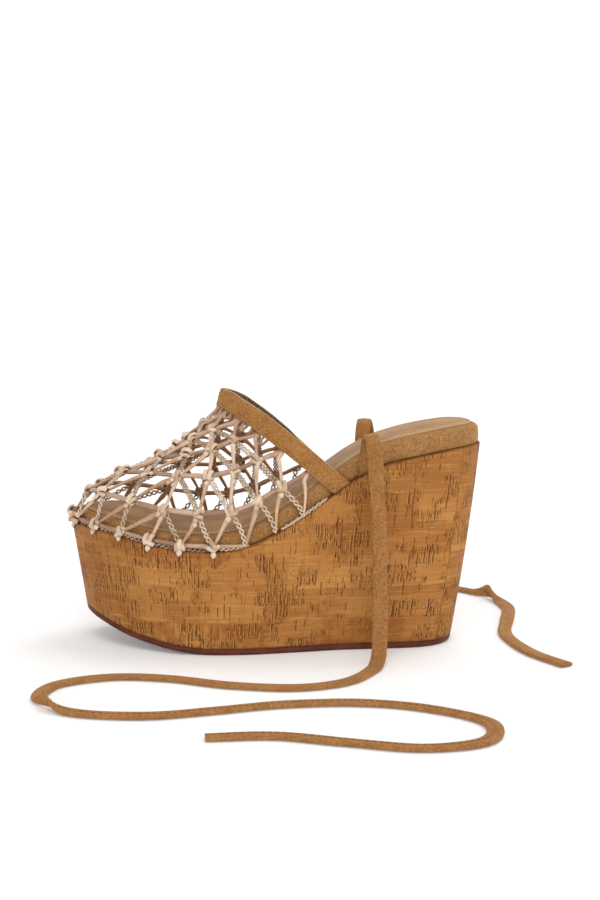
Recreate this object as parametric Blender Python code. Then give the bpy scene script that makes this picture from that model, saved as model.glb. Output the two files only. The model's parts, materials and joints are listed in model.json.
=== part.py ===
"""Platform sandal, left shoe: cork wedge sole, padded footbed, knotted net vamp, instep band, two ankle ties.

Metres. The toe points to -X and the heel to +X, the outer side faces -Y, up is +Z.
The origin is on the floor, under the middle of the sole's length.
"""
import bmesh
import bpy
from math import acos, atan2, copysign, cos, hypot, pi, sin
from mathutils import Vector

# Sole
LENGTH = 0.2425
BALL_WIDTH = 0.090
TOE_TOP = 0.0719
BALL_TOP = 0.0610
HEEL_TOP = 0.1192
TOE_SPRING = 0.018
TOE_TUCK = 0.0085
HEEL_TUCK = 0.0165
SIDE_TUCK = 0.0035
HEEL_SIDE_TUCK = 0.0090
HEEL_BULGE = 0.0012
CORK_EDGE_RADIUS = 0.0009
OUTSOLE_THICKNESS = 0.0035
OUTSOLE_EDGE_RADIUS = 0.0009
OUTSOLE_HEEL_ROLL = 0.0030
HEEL_CURVE_SHARE = 0.90
ROLL_MIDDLE_SHARE = 0.30
WEDGE_RING_SHARES = (0.36, 0.68)

# Footbed and insole
TOE_PAD = 0.0070
HEEL_PAD = 0.0120
PAD_BACK_DROP = 0.0015
PAD_EDGE_RADIUS = 0.0026
PAD_BULGE = 0.0004
PAD_BULGE_SHARE = 0.45
SHOULDER_IN_SHARE = 0.28
SHOULDER_DROP_SHARE = 0.72
LEDGE = 0.0038
HEEL_LEDGE = 0.0012
INSOLE_THICKNESS = 0.0012
INSOLE_MARGIN = 0.0046

# Vamp net
CORD_THICKNESS = 0.0027
KNOT_THICKNESS = 0.0050
EDGE_CORD_THICKNESS = 0.0019
EDGE_SLACK = 0.0018
NET_INSET = 0.0009
NET_TOE_RISE = 0.0125
NET_TOE_SETBACK = 0.0065
KNOT_REACH = 0.0032
KNOT_SPREAD = 0.0055
KNOT_CLEARANCE = 0.0006
ARCH_POWER = 1.25

# Instep band
BAND_WIDTH = 0.0110
BAND_THICKNESS = 0.0026
BAND_OUTER_SEAT = 0.0350
BAND_INNER_SEAT = 0.0280
BAND_TOP_X = -0.0335
BAND_TOP_HEIGHT = 0.1395
BAND_TOP_SIDE = 0.0060
TOE_SIDE = 0.0085
BAND_SEAT_INSET = 0.0017
BAND_TOP_LEAN = (0.34, 0.0, 0.94)
BAND_STRAIGHT_SHARE = 0.80

# Ankle ties
TIE_WIDTH = 0.0085
TIE_THICKNESS = 0.0022
ROUNDING_SHARE = 0.32

# Gaps, angles and how finely the curves are divided
GAP = 0.0003
OPEN_SIDE_ANGLE = 2.7
SHARP_ANGLE = 0.7
STEP_ANGLE = 0.005
SEATING_STEPS = 12
STATIONS = 36
BAND_STATIONS = 26
CURVE_STEPS = 24
LINE_STEPS = 72
TIE_STEPS = 2
CORD_SIDES = 6

# Outline from above: share of the length, half breadth and middle as shares of the ball width
OUTLINE = [
    {"along": 0.00, "half": 0.000, "middle": 0.090},
    {"along": 0.02, "half": 0.170, "middle": 0.089},
    {"along": 0.05, "half": 0.270, "middle": 0.085},
    {"along": 0.10, "half": 0.365, "middle": 0.074},
    {"along": 0.18, "half": 0.445, "middle": 0.045},
    {"along": 0.28, "half": 0.495, "middle": 0.012},
    {"along": 0.36, "half": 0.500, "middle": 0.000},
    {"along": 0.46, "half": 0.475, "middle": -0.018},
    {"along": 0.58, "half": 0.418, "middle": -0.026},
    {"along": 0.70, "half": 0.370, "middle": -0.018},
    {"along": 0.82, "half": 0.354, "middle": -0.006},
    {"along": 0.90, "half": 0.325, "middle": 0.000},
    {"along": 0.96, "half": 0.245, "middle": 0.000},
    {"along": 1.00, "half": 0.000, "middle": 0.000},
]

# Top of the cork: share of the toe's rise and of the heel's rise over the ball
CORK_TOP = [
    {"along": 0.00, "toe": 1.00, "heel": 0.000},
    {"along": 0.05, "toe": 0.90, "heel": 0.000},
    {"along": 0.10, "toe": 0.78, "heel": 0.000},
    {"along": 0.14, "toe": 0.61, "heel": 0.000},
    {"along": 0.19, "toe": 0.36, "heel": 0.000},
    {"along": 0.26, "toe": 0.12, "heel": 0.000},
    {"along": 0.34, "toe": 0.00, "heel": 0.000},
    {"along": 0.40, "toe": 0.00, "heel": 0.016},
    {"along": 0.45, "toe": 0.00, "heel": 0.064},
    {"along": 0.50, "toe": 0.00, "heel": 0.158},
    {"along": 0.56, "toe": 0.00, "heel": 0.304},
    {"along": 0.62, "toe": 0.00, "heel": 0.478},
    {"along": 0.68, "toe": 0.00, "heel": 0.656},
    {"along": 0.74, "toe": 0.00, "heel": 0.790},
    {"along": 0.80, "toe": 0.00, "heel": 0.868},
    {"along": 0.87, "toe": 0.00, "heel": 0.931},
    {"along": 0.94, "toe": 0.00, "heel": 0.979},
    {"along": 1.00, "toe": 0.00, "heel": 1.000},
]

# Underside: share of the toe spring
UNDERSIDE = [
    {"along": 0.000, "spring": 1.000},
    {"along": 0.067, "spring": 0.720},
    {"along": 0.125, "spring": 0.470},
    {"along": 0.180, "spring": 0.300},
    {"along": 0.240, "spring": 0.150},
    {"along": 0.300, "spring": 0.045},
    {"along": 0.345, "spring": 0.000},
    {"along": 1.000, "spring": 0.000},
]

# Footbed and sides: shares of the steps from toe to heel in pad, in ledge and in the side walls' tuck
FOOTBED = [
    {"along": 0.00, "pad": 0.00, "ledge": 0.00, "taper": 0.00},
    {"along": 0.20, "pad": 0.12, "ledge": 0.00, "taper": 0.00},
    {"along": 0.36, "pad": 0.34, "ledge": 0.00, "taper": 0.05},
    {"along": 0.60, "pad": 1.00, "ledge": 0.00, "taper": 0.55},
    {"along": 0.76, "pad": 1.00, "ledge": 0.00, "taper": 0.92},
    {"along": 0.84, "pad": 1.00, "ledge": 1.00, "taper": 1.00},
    {"along": 1.00, "pad": 1.00, "ledge": 1.00, "taper": 1.00},
]

# Ridge of the vamp, from the toe to the band: share of the run and of the rise
RIDGE = [
    {"run": 0.00, "rise": 0.000},
    {"run": 0.10, "rise": 0.035},
    {"run": 0.20, "rise": 0.120},
    {"run": 0.31, "rise": 0.240},
    {"run": 0.41, "rise": 0.325},
    {"run": 0.52, "rise": 0.400},
    {"run": 0.62, "rise": 0.480},
    {"run": 0.72, "rise": 0.590},
    {"run": 0.83, "rise": 0.750},
    {"run": 0.91, "rise": 0.880},
    {"run": 1.00, "rise": 1.000},
]

# Rows of knots, from the cork upwards: distance as a share of the band's length on that side,
# how much further up it lies half way between toe and band, knots, and how far they slide towards
# the band half way there, as a share of the space between two knots
NET_ROWS = [
    {"up": 0.00, "crown": 0.00, "knots": 20, "slide": 0.00},
    {"up": 0.19, "crown": 0.05, "knots": 17, "slide": 0.60},
    {"up": 0.39, "crown": 0.16, "knots": 14, "slide": 0.62},
    {"up": 0.57, "crown": 0.20, "knots": 10, "slide": 0.42},
    {"up": 0.73, "crown": 0.22, "knots": 7, "slide": 0.00},
    {"up": 0.87, "crown": 0.10, "knots": 5, "slide": 0.00},
]

# Ties: routes chosen by hand, from the seam between cork and footbed down to the floor
OUTER_TIE_ROUTE = [
    (0.0530, -0.0324, 0.1085), (0.0532, -0.0325, 0.1140), (0.0536, -0.0332, 0.1195),
    (0.0542, -0.0358, 0.1245), (0.0550, -0.0404, 0.1270), (0.0558, -0.0450, 0.1254),
    (0.0566, -0.0482, 0.1210), (0.0574, -0.0496, 0.1140), (0.0582, -0.0498, 0.1040),
    (0.0596, -0.0488, 0.0800), (0.0606, -0.0480, 0.0540), (0.0608, -0.0486, 0.0300),
    (0.0602, -0.0530, 0.0125), (0.0585, -0.0630, 0.0028), (0.0540, -0.0780, 0.0012),
    (0.0400, -0.0990, 0.0012), (0.0130, -0.1100, 0.0012), (-0.0210, -0.1060, 0.0012),
    (-0.0550, -0.0930, 0.0012), (-0.0880, -0.0900, 0.0012), (-0.1150, -0.1050, 0.0012),
    (-0.1190, -0.1340, 0.0012), (-0.0980, -0.1540, 0.0012), (-0.0630, -0.1590, 0.0012),
    (-0.0270, -0.1500, 0.0012), (0.0090, -0.1390, 0.0012), (0.0460, -0.1370, 0.0012),
    (0.0810, -0.1470, 0.0012), (0.1080, -0.1700, 0.0012), (0.1040, -0.1980, 0.0012),
    (0.0740, -0.2080, 0.0012), (0.0380, -0.2000, 0.0012), (0.0040, -0.1900, 0.0012),
    (-0.0300, -0.1930, 0.0012),
]
INNER_TIE_ROUTE = [
    (0.0530, 0.0295, 0.1085), (0.0532, 0.0296, 0.1140), (0.0536, 0.0303, 0.1195),
    (0.0542, 0.0329, 0.1245), (0.0550, 0.0375, 0.1270), (0.0558, 0.0421, 0.1254),
    (0.0566, 0.0453, 0.1210), (0.0574, 0.0467, 0.1140), (0.0582, 0.0469, 0.1040),
    (0.0596, 0.0459, 0.0800), (0.0606, 0.0451, 0.0540), (0.0608, 0.0457, 0.0300),
    (0.0602, 0.0501, 0.0125), (0.0585, 0.0601, 0.0028), (0.0530, 0.0750, 0.0012),
    (0.0360, 0.0930, 0.0012), (0.0040, 0.1010, 0.0012), (-0.0310, 0.0960, 0.0012),
    (-0.0650, 0.0940, 0.0012), (-0.0920, 0.1090, 0.0012), (-0.0950, 0.1370, 0.0012),
    (-0.0710, 0.1550, 0.0012), (-0.0350, 0.1550, 0.0012), (0.0010, 0.1460, 0.0012),
    (0.0370, 0.1410, 0.0012), (0.0740, 0.1420, 0.0012), (0.1090, 0.1330, 0.0012),
    (0.1370, 0.1090, 0.0012), (0.1490, 0.0740, 0.0012), (0.1440, 0.0370, 0.0012),
    (0.1390, 0.0000, 0.0012), (0.1470, -0.0360, 0.0012), (0.1640, -0.0660, 0.0012),
]

# Colours: red, green, blue, roughness
FINISHES = {
    "outsole_rubber": (0.080, 0.022, 0.012, 0.55),
    "cork": (0.480, 0.215, 0.072, 0.75),
    "footbed_suede": (0.330, 0.190, 0.078, 0.90),
    "insole_leather": (0.400, 0.255, 0.170, 0.60),
    "net_leather": (0.620, 0.450, 0.330, 0.55),
    "band_suede": (0.330, 0.175, 0.062, 0.90),
    "tie_suede": (0.340, 0.180, 0.065, 0.90),
}


def clear_objects():
    for item in list(bpy.data.objects):
        bpy.data.objects.remove(item)


def read_table(table, key, column, where):
    """Value of a column at a place, on a smooth curve that never overshoots its rows."""
    keys = [row[key] for row in table]
    values = [row[column] for row in table]
    if where <= keys[0]:
        return values[0]
    if where >= keys[-1]:
        return values[-1]
    steps = [(values[i + 1] - values[i]) / (keys[i + 1] - keys[i]) for i in range(len(keys) - 1)]
    slopes = [steps[0]]
    for before, after in zip(steps, steps[1:]):
        slopes.append(2 * before * after / (before + after) if before * after > 0 else 0.0)
    slopes.append(steps[-1])
    i = max(n for n in range(len(steps)) if keys[n] <= where)
    span = keys[i + 1] - keys[i]
    u = (where - keys[i]) / span
    return (
        values[i] * (1 + 2 * u) * (1 - u) ** 2
        + slopes[i] * span * u * (1 - u) ** 2
        + values[i + 1] * u * u * (3 - 2 * u)
        + slopes[i + 1] * span * u * u * (u - 1)
    )


def turn_of(along):
    """Angle round the outline for a share of the length."""
    return acos(max(-1.0, min(1.0, 1 - 2 * along)))


HALF_TURNS = [{"turn": turn_of(row["along"]), "half": row["half"]} for row in OUTLINE]


def outline_point(turn, height_share):
    """Outline at a share of the sole's height. Turn 0 is the toe, pi the heel, below 0 the outer side."""
    if abs(turn) > pi:
        turn -= copysign(2 * pi, turn)
    along = (1 - cos(turn)) / 2
    drop = 1 - height_share
    front = -LENGTH / 2 + TOE_TUCK * drop
    back = LENGTH / 2 - HEEL_TUCK * drop + 4 * HEEL_BULGE * drop * height_share
    half = BALL_WIDTH * read_table(HALF_TURNS, "turn", "half", abs(turn))
    tuck = SIDE_TUCK + (HEEL_SIDE_TUCK - SIDE_TUCK) * read_table(FOOTBED, "along", "taper", along)
    half *= 1 - tuck / (BALL_WIDTH / 2) * drop
    middle = BALL_WIDTH * read_table(OUTLINE, "along", "middle", along)
    return Vector((front + along * (back - front), middle + (half if turn > 0 else -half), 0.0))


def inset_outline(turn, height_share, inset):
    """The same outline moved inwards, square to itself."""
    ahead = outline_point(turn + STEP_ANGLE, height_share)
    behind = outline_point(turn - STEP_ANGLE, height_share)
    way = (ahead - behind).normalized()
    return outline_point(turn, height_share) - inset * Vector((-way.y, way.x, 0.0))


def cork_top(x):
    along = (x + LENGTH / 2) / LENGTH
    toe = read_table(CORK_TOP, "along", "toe", along)
    heel = read_table(CORK_TOP, "along", "heel", along)
    return BALL_TOP + toe * (TOE_TOP - BALL_TOP) + heel * (HEEL_TOP - BALL_TOP)


def underside(along):
    return TOE_SPRING * read_table(UNDERSIDE, "along", "spring", along)


def heel_curve(along):
    """0 up to where the heel's curve starts, then rising to 1 at the back."""
    return max(0.0, (along - HEEL_CURVE_SHARE) / (1 - HEEL_CURVE_SHARE)) ** 2


def pad_thickness(x):
    along = (x + LENGTH / 2) / LENGTH
    pad = TOE_PAD + (HEEL_PAD - TOE_PAD) * read_table(FOOTBED, "along", "pad", along)
    return pad - PAD_BACK_DROP * heel_curve(along)


def ledge_width(x):
    along = (x + LENGTH / 2) / LENGTH
    return LEDGE + (HEEL_LEDGE - LEDGE) * read_table(FOOTBED, "along", "ledge", along)


def ring_turns():
    """Turns of one ring: the heel first, then the outer side, the toe and the inner side."""
    return [-pi + k * pi / STATIONS for k in range(2 * STATIONS)]


def side_ring(inset, lift=None, share=None):
    """Ring on the side wall of the sole, a lift above its underside or at a share of its height."""
    ring = []
    for turn in ring_turns():
        along = (1 - cos(turn)) / 2
        low = underside(along)
        high = cork_top(outline_point(turn, 1.0).x)
        height = lift(along, low, high) if lift else share * (high - low)
        point = inset_outline(turn, height / (high - low), inset(along))
        point.z = low + height
        ring.append(point)
    return ring


def flat_ring(inset, height):
    """Ring at an inset from the cork's top edge, at a height above the cork worked out from x."""
    ring = []
    for turn in ring_turns():
        edge = outline_point(turn, 1.0)
        point = inset_outline(turn, 1.0, inset(edge.x))
        point.z = cork_top(point.x) + height(point.x)
        ring.append(point)
    return ring


def add_object(name, mesh_data, finish, collection):
    mesh = bpy.data.meshes.new(name)
    bmesh.ops.recalc_face_normals(mesh_data, faces=mesh_data.faces[:])
    mesh_data.to_mesh(mesh)
    mesh_data.free()
    mesh.materials.append(finish)
    mesh.shade_smooth()
    mesh.set_sharp_from_angle(angle=SHARP_ANGLE)
    item = bpy.data.objects.new(name, mesh)
    collection.objects.link(item)
    return item


def skin_between(mesh_data, rings):
    """Faces between rings of equal count, each ring closed."""
    placed = [[mesh_data.verts.new(point) for point in ring] for ring in rings]
    count = len(rings[0])
    for lower, upper in zip(placed, placed[1:]):
        for k in range(count):
            after = (k + 1) % count
            mesh_data.faces.new((lower[k], lower[after], upper[after], upper[k]))
    return placed


def loft_sole_piece(name, rings, finish, collection):
    """Closed solid through rings of the outline, its two ends laid straight across from side to side."""
    mesh_data = bmesh.new()
    placed = skin_between(mesh_data, rings)
    count = len(rings[0])
    half = count // 2
    for ring in (placed[0], placed[-1]):
        mesh_data.faces.new((ring[0], ring[1], ring[count - 1]))
        mesh_data.faces.new((ring[half - 1], ring[half], ring[half + 1]))
        for k in range(1, half - 1):
            mesh_data.faces.new((ring[k], ring[k + 1], ring[count - k - 1], ring[count - k]))
    return add_object(name, mesh_data, finish, collection)


def build_outsole(finish, collection):
    rings = [
        side_ring(lambda along: OUTSOLE_EDGE_RADIUS + OUTSOLE_HEEL_ROLL * heel_curve(along),
                  lift=lambda along, low, high: 0.0),
        side_ring(lambda along: ROLL_MIDDLE_SHARE * OUTSOLE_HEEL_ROLL * heel_curve(along),
                  lift=lambda along, low, high: OUTSOLE_EDGE_RADIUS),
        side_ring(lambda along: 0.0, lift=lambda along, low, high: OUTSOLE_THICKNESS),
    ]
    return loft_sole_piece("outsole", rings, finish, collection)


def build_wedge(finish, collection):
    rings = [side_ring(lambda along: 0.0, lift=lambda along, low, high: OUTSOLE_THICKNESS + GAP)]
    rings += [side_ring(lambda along: 0.0, share=share) for share in WEDGE_RING_SHARES]
    rings += [
        side_ring(lambda along: 0.0, lift=lambda along, low, high: high - low - CORK_EDGE_RADIUS),
        flat_ring(lambda x: CORK_EDGE_RADIUS, lambda x: 0.0),
    ]
    return loft_sole_piece("cork_wedge", rings, finish, collection)


def build_footbed(finish, collection):
    rings = [
        flat_ring(lambda x: ledge_width(x) + PAD_BULGE, lambda x: GAP),
        flat_ring(ledge_width, lambda x: GAP + PAD_BULGE_SHARE * pad_thickness(x)),
        flat_ring(lambda x: ledge_width(x) + SHOULDER_IN_SHARE * PAD_EDGE_RADIUS,
                  lambda x: GAP + pad_thickness(x) - SHOULDER_DROP_SHARE * PAD_EDGE_RADIUS),
        flat_ring(lambda x: ledge_width(x) + PAD_EDGE_RADIUS, lambda x: GAP + pad_thickness(x)),
    ]
    return loft_sole_piece("footbed", rings, finish, collection)


def build_insole(finish, collection):
    def low(x):
        return 2 * GAP + pad_thickness(x)

    rings = [
        flat_ring(lambda x: ledge_width(x) + INSOLE_MARGIN, low),
        flat_ring(lambda x: ledge_width(x) + INSOLE_MARGIN, lambda x: low(x) + INSOLE_THICKNESS),
    ]
    return loft_sole_piece("insole", rings, finish, collection)


def seat_turn(x, side):
    """Turn of the place on the cork's top edge at x, on the outer side (-1) or the inner side (+1)."""
    return side * turn_of((x + LENGTH / 2) / LENGTH)


def band_seat(side):
    x = BAND_OUTER_SEAT if side < 0 else BAND_INNER_SEAT
    point = inset_outline(seat_turn(x, side), 1.0, BAND_SEAT_INSET)
    point.z = cork_top(point.x) + GAP
    return point


def arch(seat, top, turn, forward):
    """Point on the arch from a seat on the cork to the ridge. Forward 0 rises first, 1 goes straight."""
    over = (1 - cos(turn)) ** ARCH_POWER
    along = (1 - forward) * over + forward * sin(turn)
    return Vector((
        seat.x + (top.x - seat.x) * along,
        seat.y + (top.y - seat.y) * over,
        seat.z + (top.z - seat.z) * sin(turn),
    ))


BAND_TOP = Vector((BAND_TOP_X, BAND_TOP_SIDE, BAND_TOP_HEIGHT))


def band_frame(place):
    """Front edge of the band, its way, its width direction and its outward face at a place from -1 to 1."""
    side = -1 if place < 0 else 1
    seat = band_seat(side)
    turn = (1 - abs(place)) * pi / 2
    edge = arch(seat, BAND_TOP, turn, BAND_STRAIGHT_SHARE)
    ahead = arch(seat, BAND_TOP, min(turn + STEP_ANGLE, pi / 2), BAND_STRAIGHT_SHARE)
    behind = arch(seat, BAND_TOP, max(turn - STEP_ANGLE, 0.0), BAND_STRAIGHT_SHARE)
    way = (ahead - behind).normalized() * -side
    rise = BAND_TOP - seat
    low_lean = Vector((rise.z, 0.0, -rise.x)).normalized()
    lean = low_lean.lerp(Vector(BAND_TOP_LEAN), sin(turn) ** 2)
    lean = (lean - way * lean.dot(way)).normalized()
    face = lean.cross(way).normalized()
    return edge, way, lean, face


def strap_section(centre, width_way, thick_way, width, thickness):
    """Eight corners of a flat strap with rounded edges."""
    round_off = ROUNDING_SHARE * thickness
    shares = [
        (0.5 * width, -0.5 * thickness + round_off), (0.5 * width, 0.5 * thickness - round_off),
        (0.5 * width - round_off, 0.5 * thickness), (-0.5 * width + round_off, 0.5 * thickness),
        (-0.5 * width, 0.5 * thickness - round_off), (-0.5 * width, -0.5 * thickness + round_off),
        (-0.5 * width + round_off, -0.5 * thickness), (0.5 * width - round_off, -0.5 * thickness),
    ]
    return [centre + across * width_way + out * thick_way for across, out in shares]


def build_strap(name, sections, finish, collection):
    mesh_data = bmesh.new()
    placed = skin_between(mesh_data, sections)
    mesh_data.faces.new(placed[0])
    mesh_data.faces.new(placed[-1])
    return add_object(name, mesh_data, finish, collection)


def seat_on_cork(section, down):
    """Slides the corners of an end section along the strap until they lie a gap above the cork."""
    seated = []
    for corner in section:
        point = corner.copy()
        for _ in range(SEATING_STEPS):
            point += down * ((point.z - cork_top(point.x) - GAP) / -down.z)
        seated.append(point)
    return seated


def build_band(finish, collection):
    sections = []
    for k in range(BAND_STATIONS + 1):
        place = -1 + 2 * k / BAND_STATIONS
        edge, way, lean, face = band_frame(place)
        section = strap_section(edge + lean * BAND_WIDTH / 2, lean, face, BAND_WIDTH, BAND_THICKNESS)
        if k in (0, BAND_STATIONS):
            down = -way if k == 0 else way
            section = seat_on_cork(section, down)
        sections.append(section)
    return build_strap("instep_band", sections, finish, collection)


def net_seat(place):
    """Bottom of the net at a place from -1, the band's outer end, over 0, the toe, to 1, its inner end."""
    side = -1 if place < 0 else 1
    front_edge, _, lean, _ = band_frame(side)
    end_x = (front_edge - lean * net_clearance()).x
    turn = abs(place) * seat_turn(end_x, 1)
    point = inset_outline(side * turn, 1.0, NET_INSET)
    point.z = cork_top(point.x) + GAP + KNOT_THICKNESS / 2
    return point


def net_clearance():
    return GAP + EDGE_CORD_THICKNESS / 2 + EDGE_SLACK


def net_ridge(share):
    """Ridge of the vamp at a share of the way from the toe to the band."""
    toe = inset_outline(0.0, 1.0, NET_INSET)
    _, _, lean, _ = band_frame(0.0)
    end = BAND_TOP - lean * net_clearance()
    start_z = cork_top(toe.x) + GAP + KNOT_THICKNESS / 2 + NET_TOE_RISE
    start_x = toe.x + NET_TOE_SETBACK
    side = TOE_SIDE + (BAND_TOP_SIDE - TOE_SIDE) * share
    rise = read_table(RIDGE, "run", "rise", share)
    return Vector((start_x + (end.x - start_x) * share, side, start_z + (end.z - start_z) * rise))


def net_curve(place):
    """Line on the vamp from its seat on the cork up to the ridge."""
    if abs(place) == 1:
        seat = net_seat(place)
        line = [seat]
        for k in range(1, CURVE_STEPS + 1):
            edge, _, lean, _ = band_frame(place * (1 - k / CURVE_STEPS))
            line.append(edge - lean * net_clearance())
        return [point for point in line if point.z >= seat.z]
    seat = net_seat(place)
    top = net_ridge(abs(place))
    forward = BAND_STRAIGHT_SHARE * abs(place) ** 2
    return [arch(seat, top, k / CURVE_STEPS * pi / 2, forward) for k in range(CURVE_STEPS + 1)]


def line_length(line):
    return sum((end - start).length for start, end in zip(line, line[1:]))


def point_at(line, distance):
    """Point at a distance along a line, or None past its end."""
    for start, end in zip(line, line[1:]):
        span = (end - start).length
        if distance <= span:
            return start.lerp(end, distance / span)
        distance -= span
    return None


def spread_along(line, count, slide):
    """Points on a line with its two ends. The others slide to the nearer end, most a quarter of the way."""
    total = line_length(line)
    points = [line[0]]
    for k in range(1, count - 1):
        shift = slide * sin(2 * pi * k / (count - 1))
        points.append(point_at(line, total * (k - shift) / (count - 1)))
    return points + [line[-1]]


def knot_rows():
    """Rows of knots: each is a U round the toe, further up the vamp than the last."""
    places = [-1 + 2 * k / LINE_STEPS for k in range(LINE_STEPS + 1)]
    curves = [net_curve(place) for place in places]
    outer_length = line_length(curves[0])
    inner_length = line_length(curves[-1])
    rows = []
    for row in NET_ROWS:
        line = []
        for place, curve in zip(places, curves):
            band_length = outer_length if place < 0 else inner_length
            crown = 1 + row["crown"] * 4 * abs(place) * (1 - abs(place))
            point = point_at(curve, row["up"] * crown * band_length)
            line += [point] if point else []
        rows.append(spread_along(line, row["knots"], row["slide"]))
    rows.append([net_ridge(1.0)])
    return rows


def zip_rows(lower, upper):
    """Triangles between two rows, as pairs of row and number."""
    triangles = []
    i = 0
    j = 0
    last_i = len(lower) - 1
    last_j = len(upper) - 1
    while i < last_i or j < last_j:
        step_lower = i < last_i and (j == last_j or (i + 0.5) * last_j <= (j + 0.5) * last_i)
        if step_lower:
            triangles.append((lower[i], lower[i + 1], upper[j]))
            i += 1
        else:
            triangles.append((lower[i], upper[j + 1], upper[j]))
            j += 1
    return triangles


def spokes_round(knot):
    """Cords that leave a knot, in turn round its outward direction, as direction angle and edge."""
    level = knot.normal.orthogonal().normalized()
    square = knot.normal.cross(level)
    spokes = []
    for edge in knot.link_edges:
        way = edge.other_vert(knot).co - knot.co
        spokes.append((atan2(way.dot(square), way.dot(level)), edge))
    return sorted(spokes, key=lambda spoke: spoke[0]), level, square


def tie_knot(knot, thickness_of, is_edge, cords):
    """Top, bottom and the corners between cords of one knot, with how far each cord's own part starts."""
    spokes, level, square = spokes_round(knot)
    tall = (EDGE_CORD_THICKNESS if is_edge else KNOT_THICKNESS) / 2
    top = cords.verts.new(knot.co + knot.normal * tall)
    bottom = cords.verts.new(knot.co - knot.normal * tall)
    left = {}
    right = {}
    reach = {edge: KNOT_REACH for _, edge in spokes}
    for number, (angle, edge) in enumerate(spokes):
        next_angle, next_edge = spokes[(number + 1) % len(spokes)]
        opening = (next_angle - angle) % (2 * pi)
        half_width = max(thickness_of[edge], thickness_of[next_edge]) / 2
        distance = half_width / sin(opening / 2)
        if opening > OPEN_SIDE_ANGLE:
            distance = half_width if is_edge else KNOT_THICKNESS / 2
        distance = min(distance, KNOT_SPREAD)
        middle = angle + opening / 2
        corner = cords.verts.new(knot.co + distance * (cos(middle) * level + sin(middle) * square))
        left[edge] = corner
        right[next_edge] = corner
        for cord in (edge, next_edge):
            reach[cord] = max(reach[cord], distance * cos(min(opening, OPEN_SIDE_ANGLE) / 2) + KNOT_CLEARANCE)
    return {"top": top, "bottom": bottom, "left": left, "right": right, "reach": reach}


def cord_ring(cords, centre, out, across, radius):
    """Corners round a cord, from its outward side over its left side."""
    ring = []
    for number in range(CORD_SIDES):
        turn = number * 2 * pi / CORD_SIDES
        ring.append(cords.verts.new(centre + radius * (cos(turn) * out + sin(turn) * across)))
    return ring


def join_to_knot(cords, knot, left, right, ring):
    """Faces from the end of a cord to the knot's top, bottom and the two corners beside the cord."""
    top = knot["top"]
    bottom = knot["bottom"]
    cords.faces.new((top, left, ring[1], ring[0]))
    cords.faces.new((left, ring[2], ring[1]))
    cords.faces.new((left, bottom, ring[3], ring[2]))
    cords.faces.new((bottom, right, ring[4], ring[3]))
    cords.faces.new((right, ring[5], ring[4]))
    cords.faces.new((right, top, ring[0], ring[5]))


def build_net(finish, collection):
    """The net is one wall: a lattice of curved cords joined at thick knots and open in every mesh."""
    rows = knot_rows()
    lattice = bmesh.new()
    placed = [[lattice.verts.new(point) for point in row] for row in rows]
    for lower, upper in zip(placed, placed[1:]):
        for corners in zip_rows(lower, upper):
            lattice.faces.new(corners)
    lattice.normal_update()
    if placed[0][0].normal.y > 0:
        bmesh.ops.reverse_faces(lattice, faces=lattice.faces[:])
        lattice.normal_update()
    at_band = {row[0] for row in placed} | {row[-1] for row in placed}
    thickness_of = {}
    for edge in lattice.edges:
        beside_band = edge.is_boundary and edge.verts[0] in at_band and edge.verts[1] in at_band
        thickness_of[edge] = EDGE_CORD_THICKNESS if beside_band else CORD_THICKNESS

    cords = bmesh.new()
    knots = {vert: tie_knot(vert, thickness_of, vert in at_band, cords) for vert in lattice.verts}
    for edge in lattice.edges:
        start, end = edge.verts
        span = end.co - start.co
        bend = start.normal.angle(end.normal, 0.0)
        swell = (start.normal + end.normal).normalized() * span.length * bend / 2
        rings = []
        for share in (knots[start]["reach"][edge] / span.length, 1 - knots[end]["reach"][edge] / span.length):
            centre = start.co + span * share + swell * share * (1 - share)
            way = (span + swell * (1 - 2 * share)).normalized()
            out = start.normal.lerp(end.normal, share)
            out = (out - way * out.dot(way)).normalized()
            rings.append(cord_ring(cords, centre, out, out.cross(way), thickness_of[edge] / 2))
        for number in range(CORD_SIDES):
            after = (number + 1) % CORD_SIDES
            cords.faces.new((rings[0][number], rings[0][after], rings[1][after], rings[1][number]))
        join_to_knot(cords, knots[start], knots[start]["left"][edge], knots[start]["right"][edge], rings[0])
        join_to_knot(cords, knots[end], knots[end]["right"][edge], knots[end]["left"][edge], rings[1])
    lattice.free()
    return add_object("vamp_net", cords, finish, collection)


def smooth_route(route):
    """Points on a smooth curve through the route's own points."""
    points = [Vector(point) for point in route]
    ends = [2 * points[0] - points[1]] + points + [2 * points[-1] - points[-2]]
    line = []
    for i in range(1, len(ends) - 2):
        before, start, end, after = ends[i - 1 : i + 3]
        for k in range(TIE_STEPS):
            u = k / TIE_STEPS
            line.append(0.5 * (
                2 * start
                + (end - before) * u
                + (2 * before - 5 * start + 4 * end - after) * u * u
                + (3 * start - before - 3 * end + after) * u ** 3
            ))
    line.append(points[-1])
    return line


def build_tie(name, route, side, finish, collection):
    """Flat strap along its route: across the fall it lies along the shoe, on the floor it lies flat."""
    line = smooth_route(route)
    hanging = Vector((-side, 0.0, 0.0))
    sections = []
    for i, point in enumerate(line):
        way = (line[min(i + 1, len(line) - 1)] - line[max(i - 1, 0)]).normalized()
        level = hypot(way.x, way.y)
        across = Vector((-way.y, way.x, 0.0)) + (1 - level) * hanging
        across = (across - way * across.dot(way)).normalized()
        sections.append(strap_section(point, across, way.cross(across), TIE_WIDTH, TIE_THICKNESS))
    sections[0] = seat_on_cork(sections[0], (line[0] - line[1]).normalized())
    return build_strap(name, sections, finish, collection)


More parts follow.
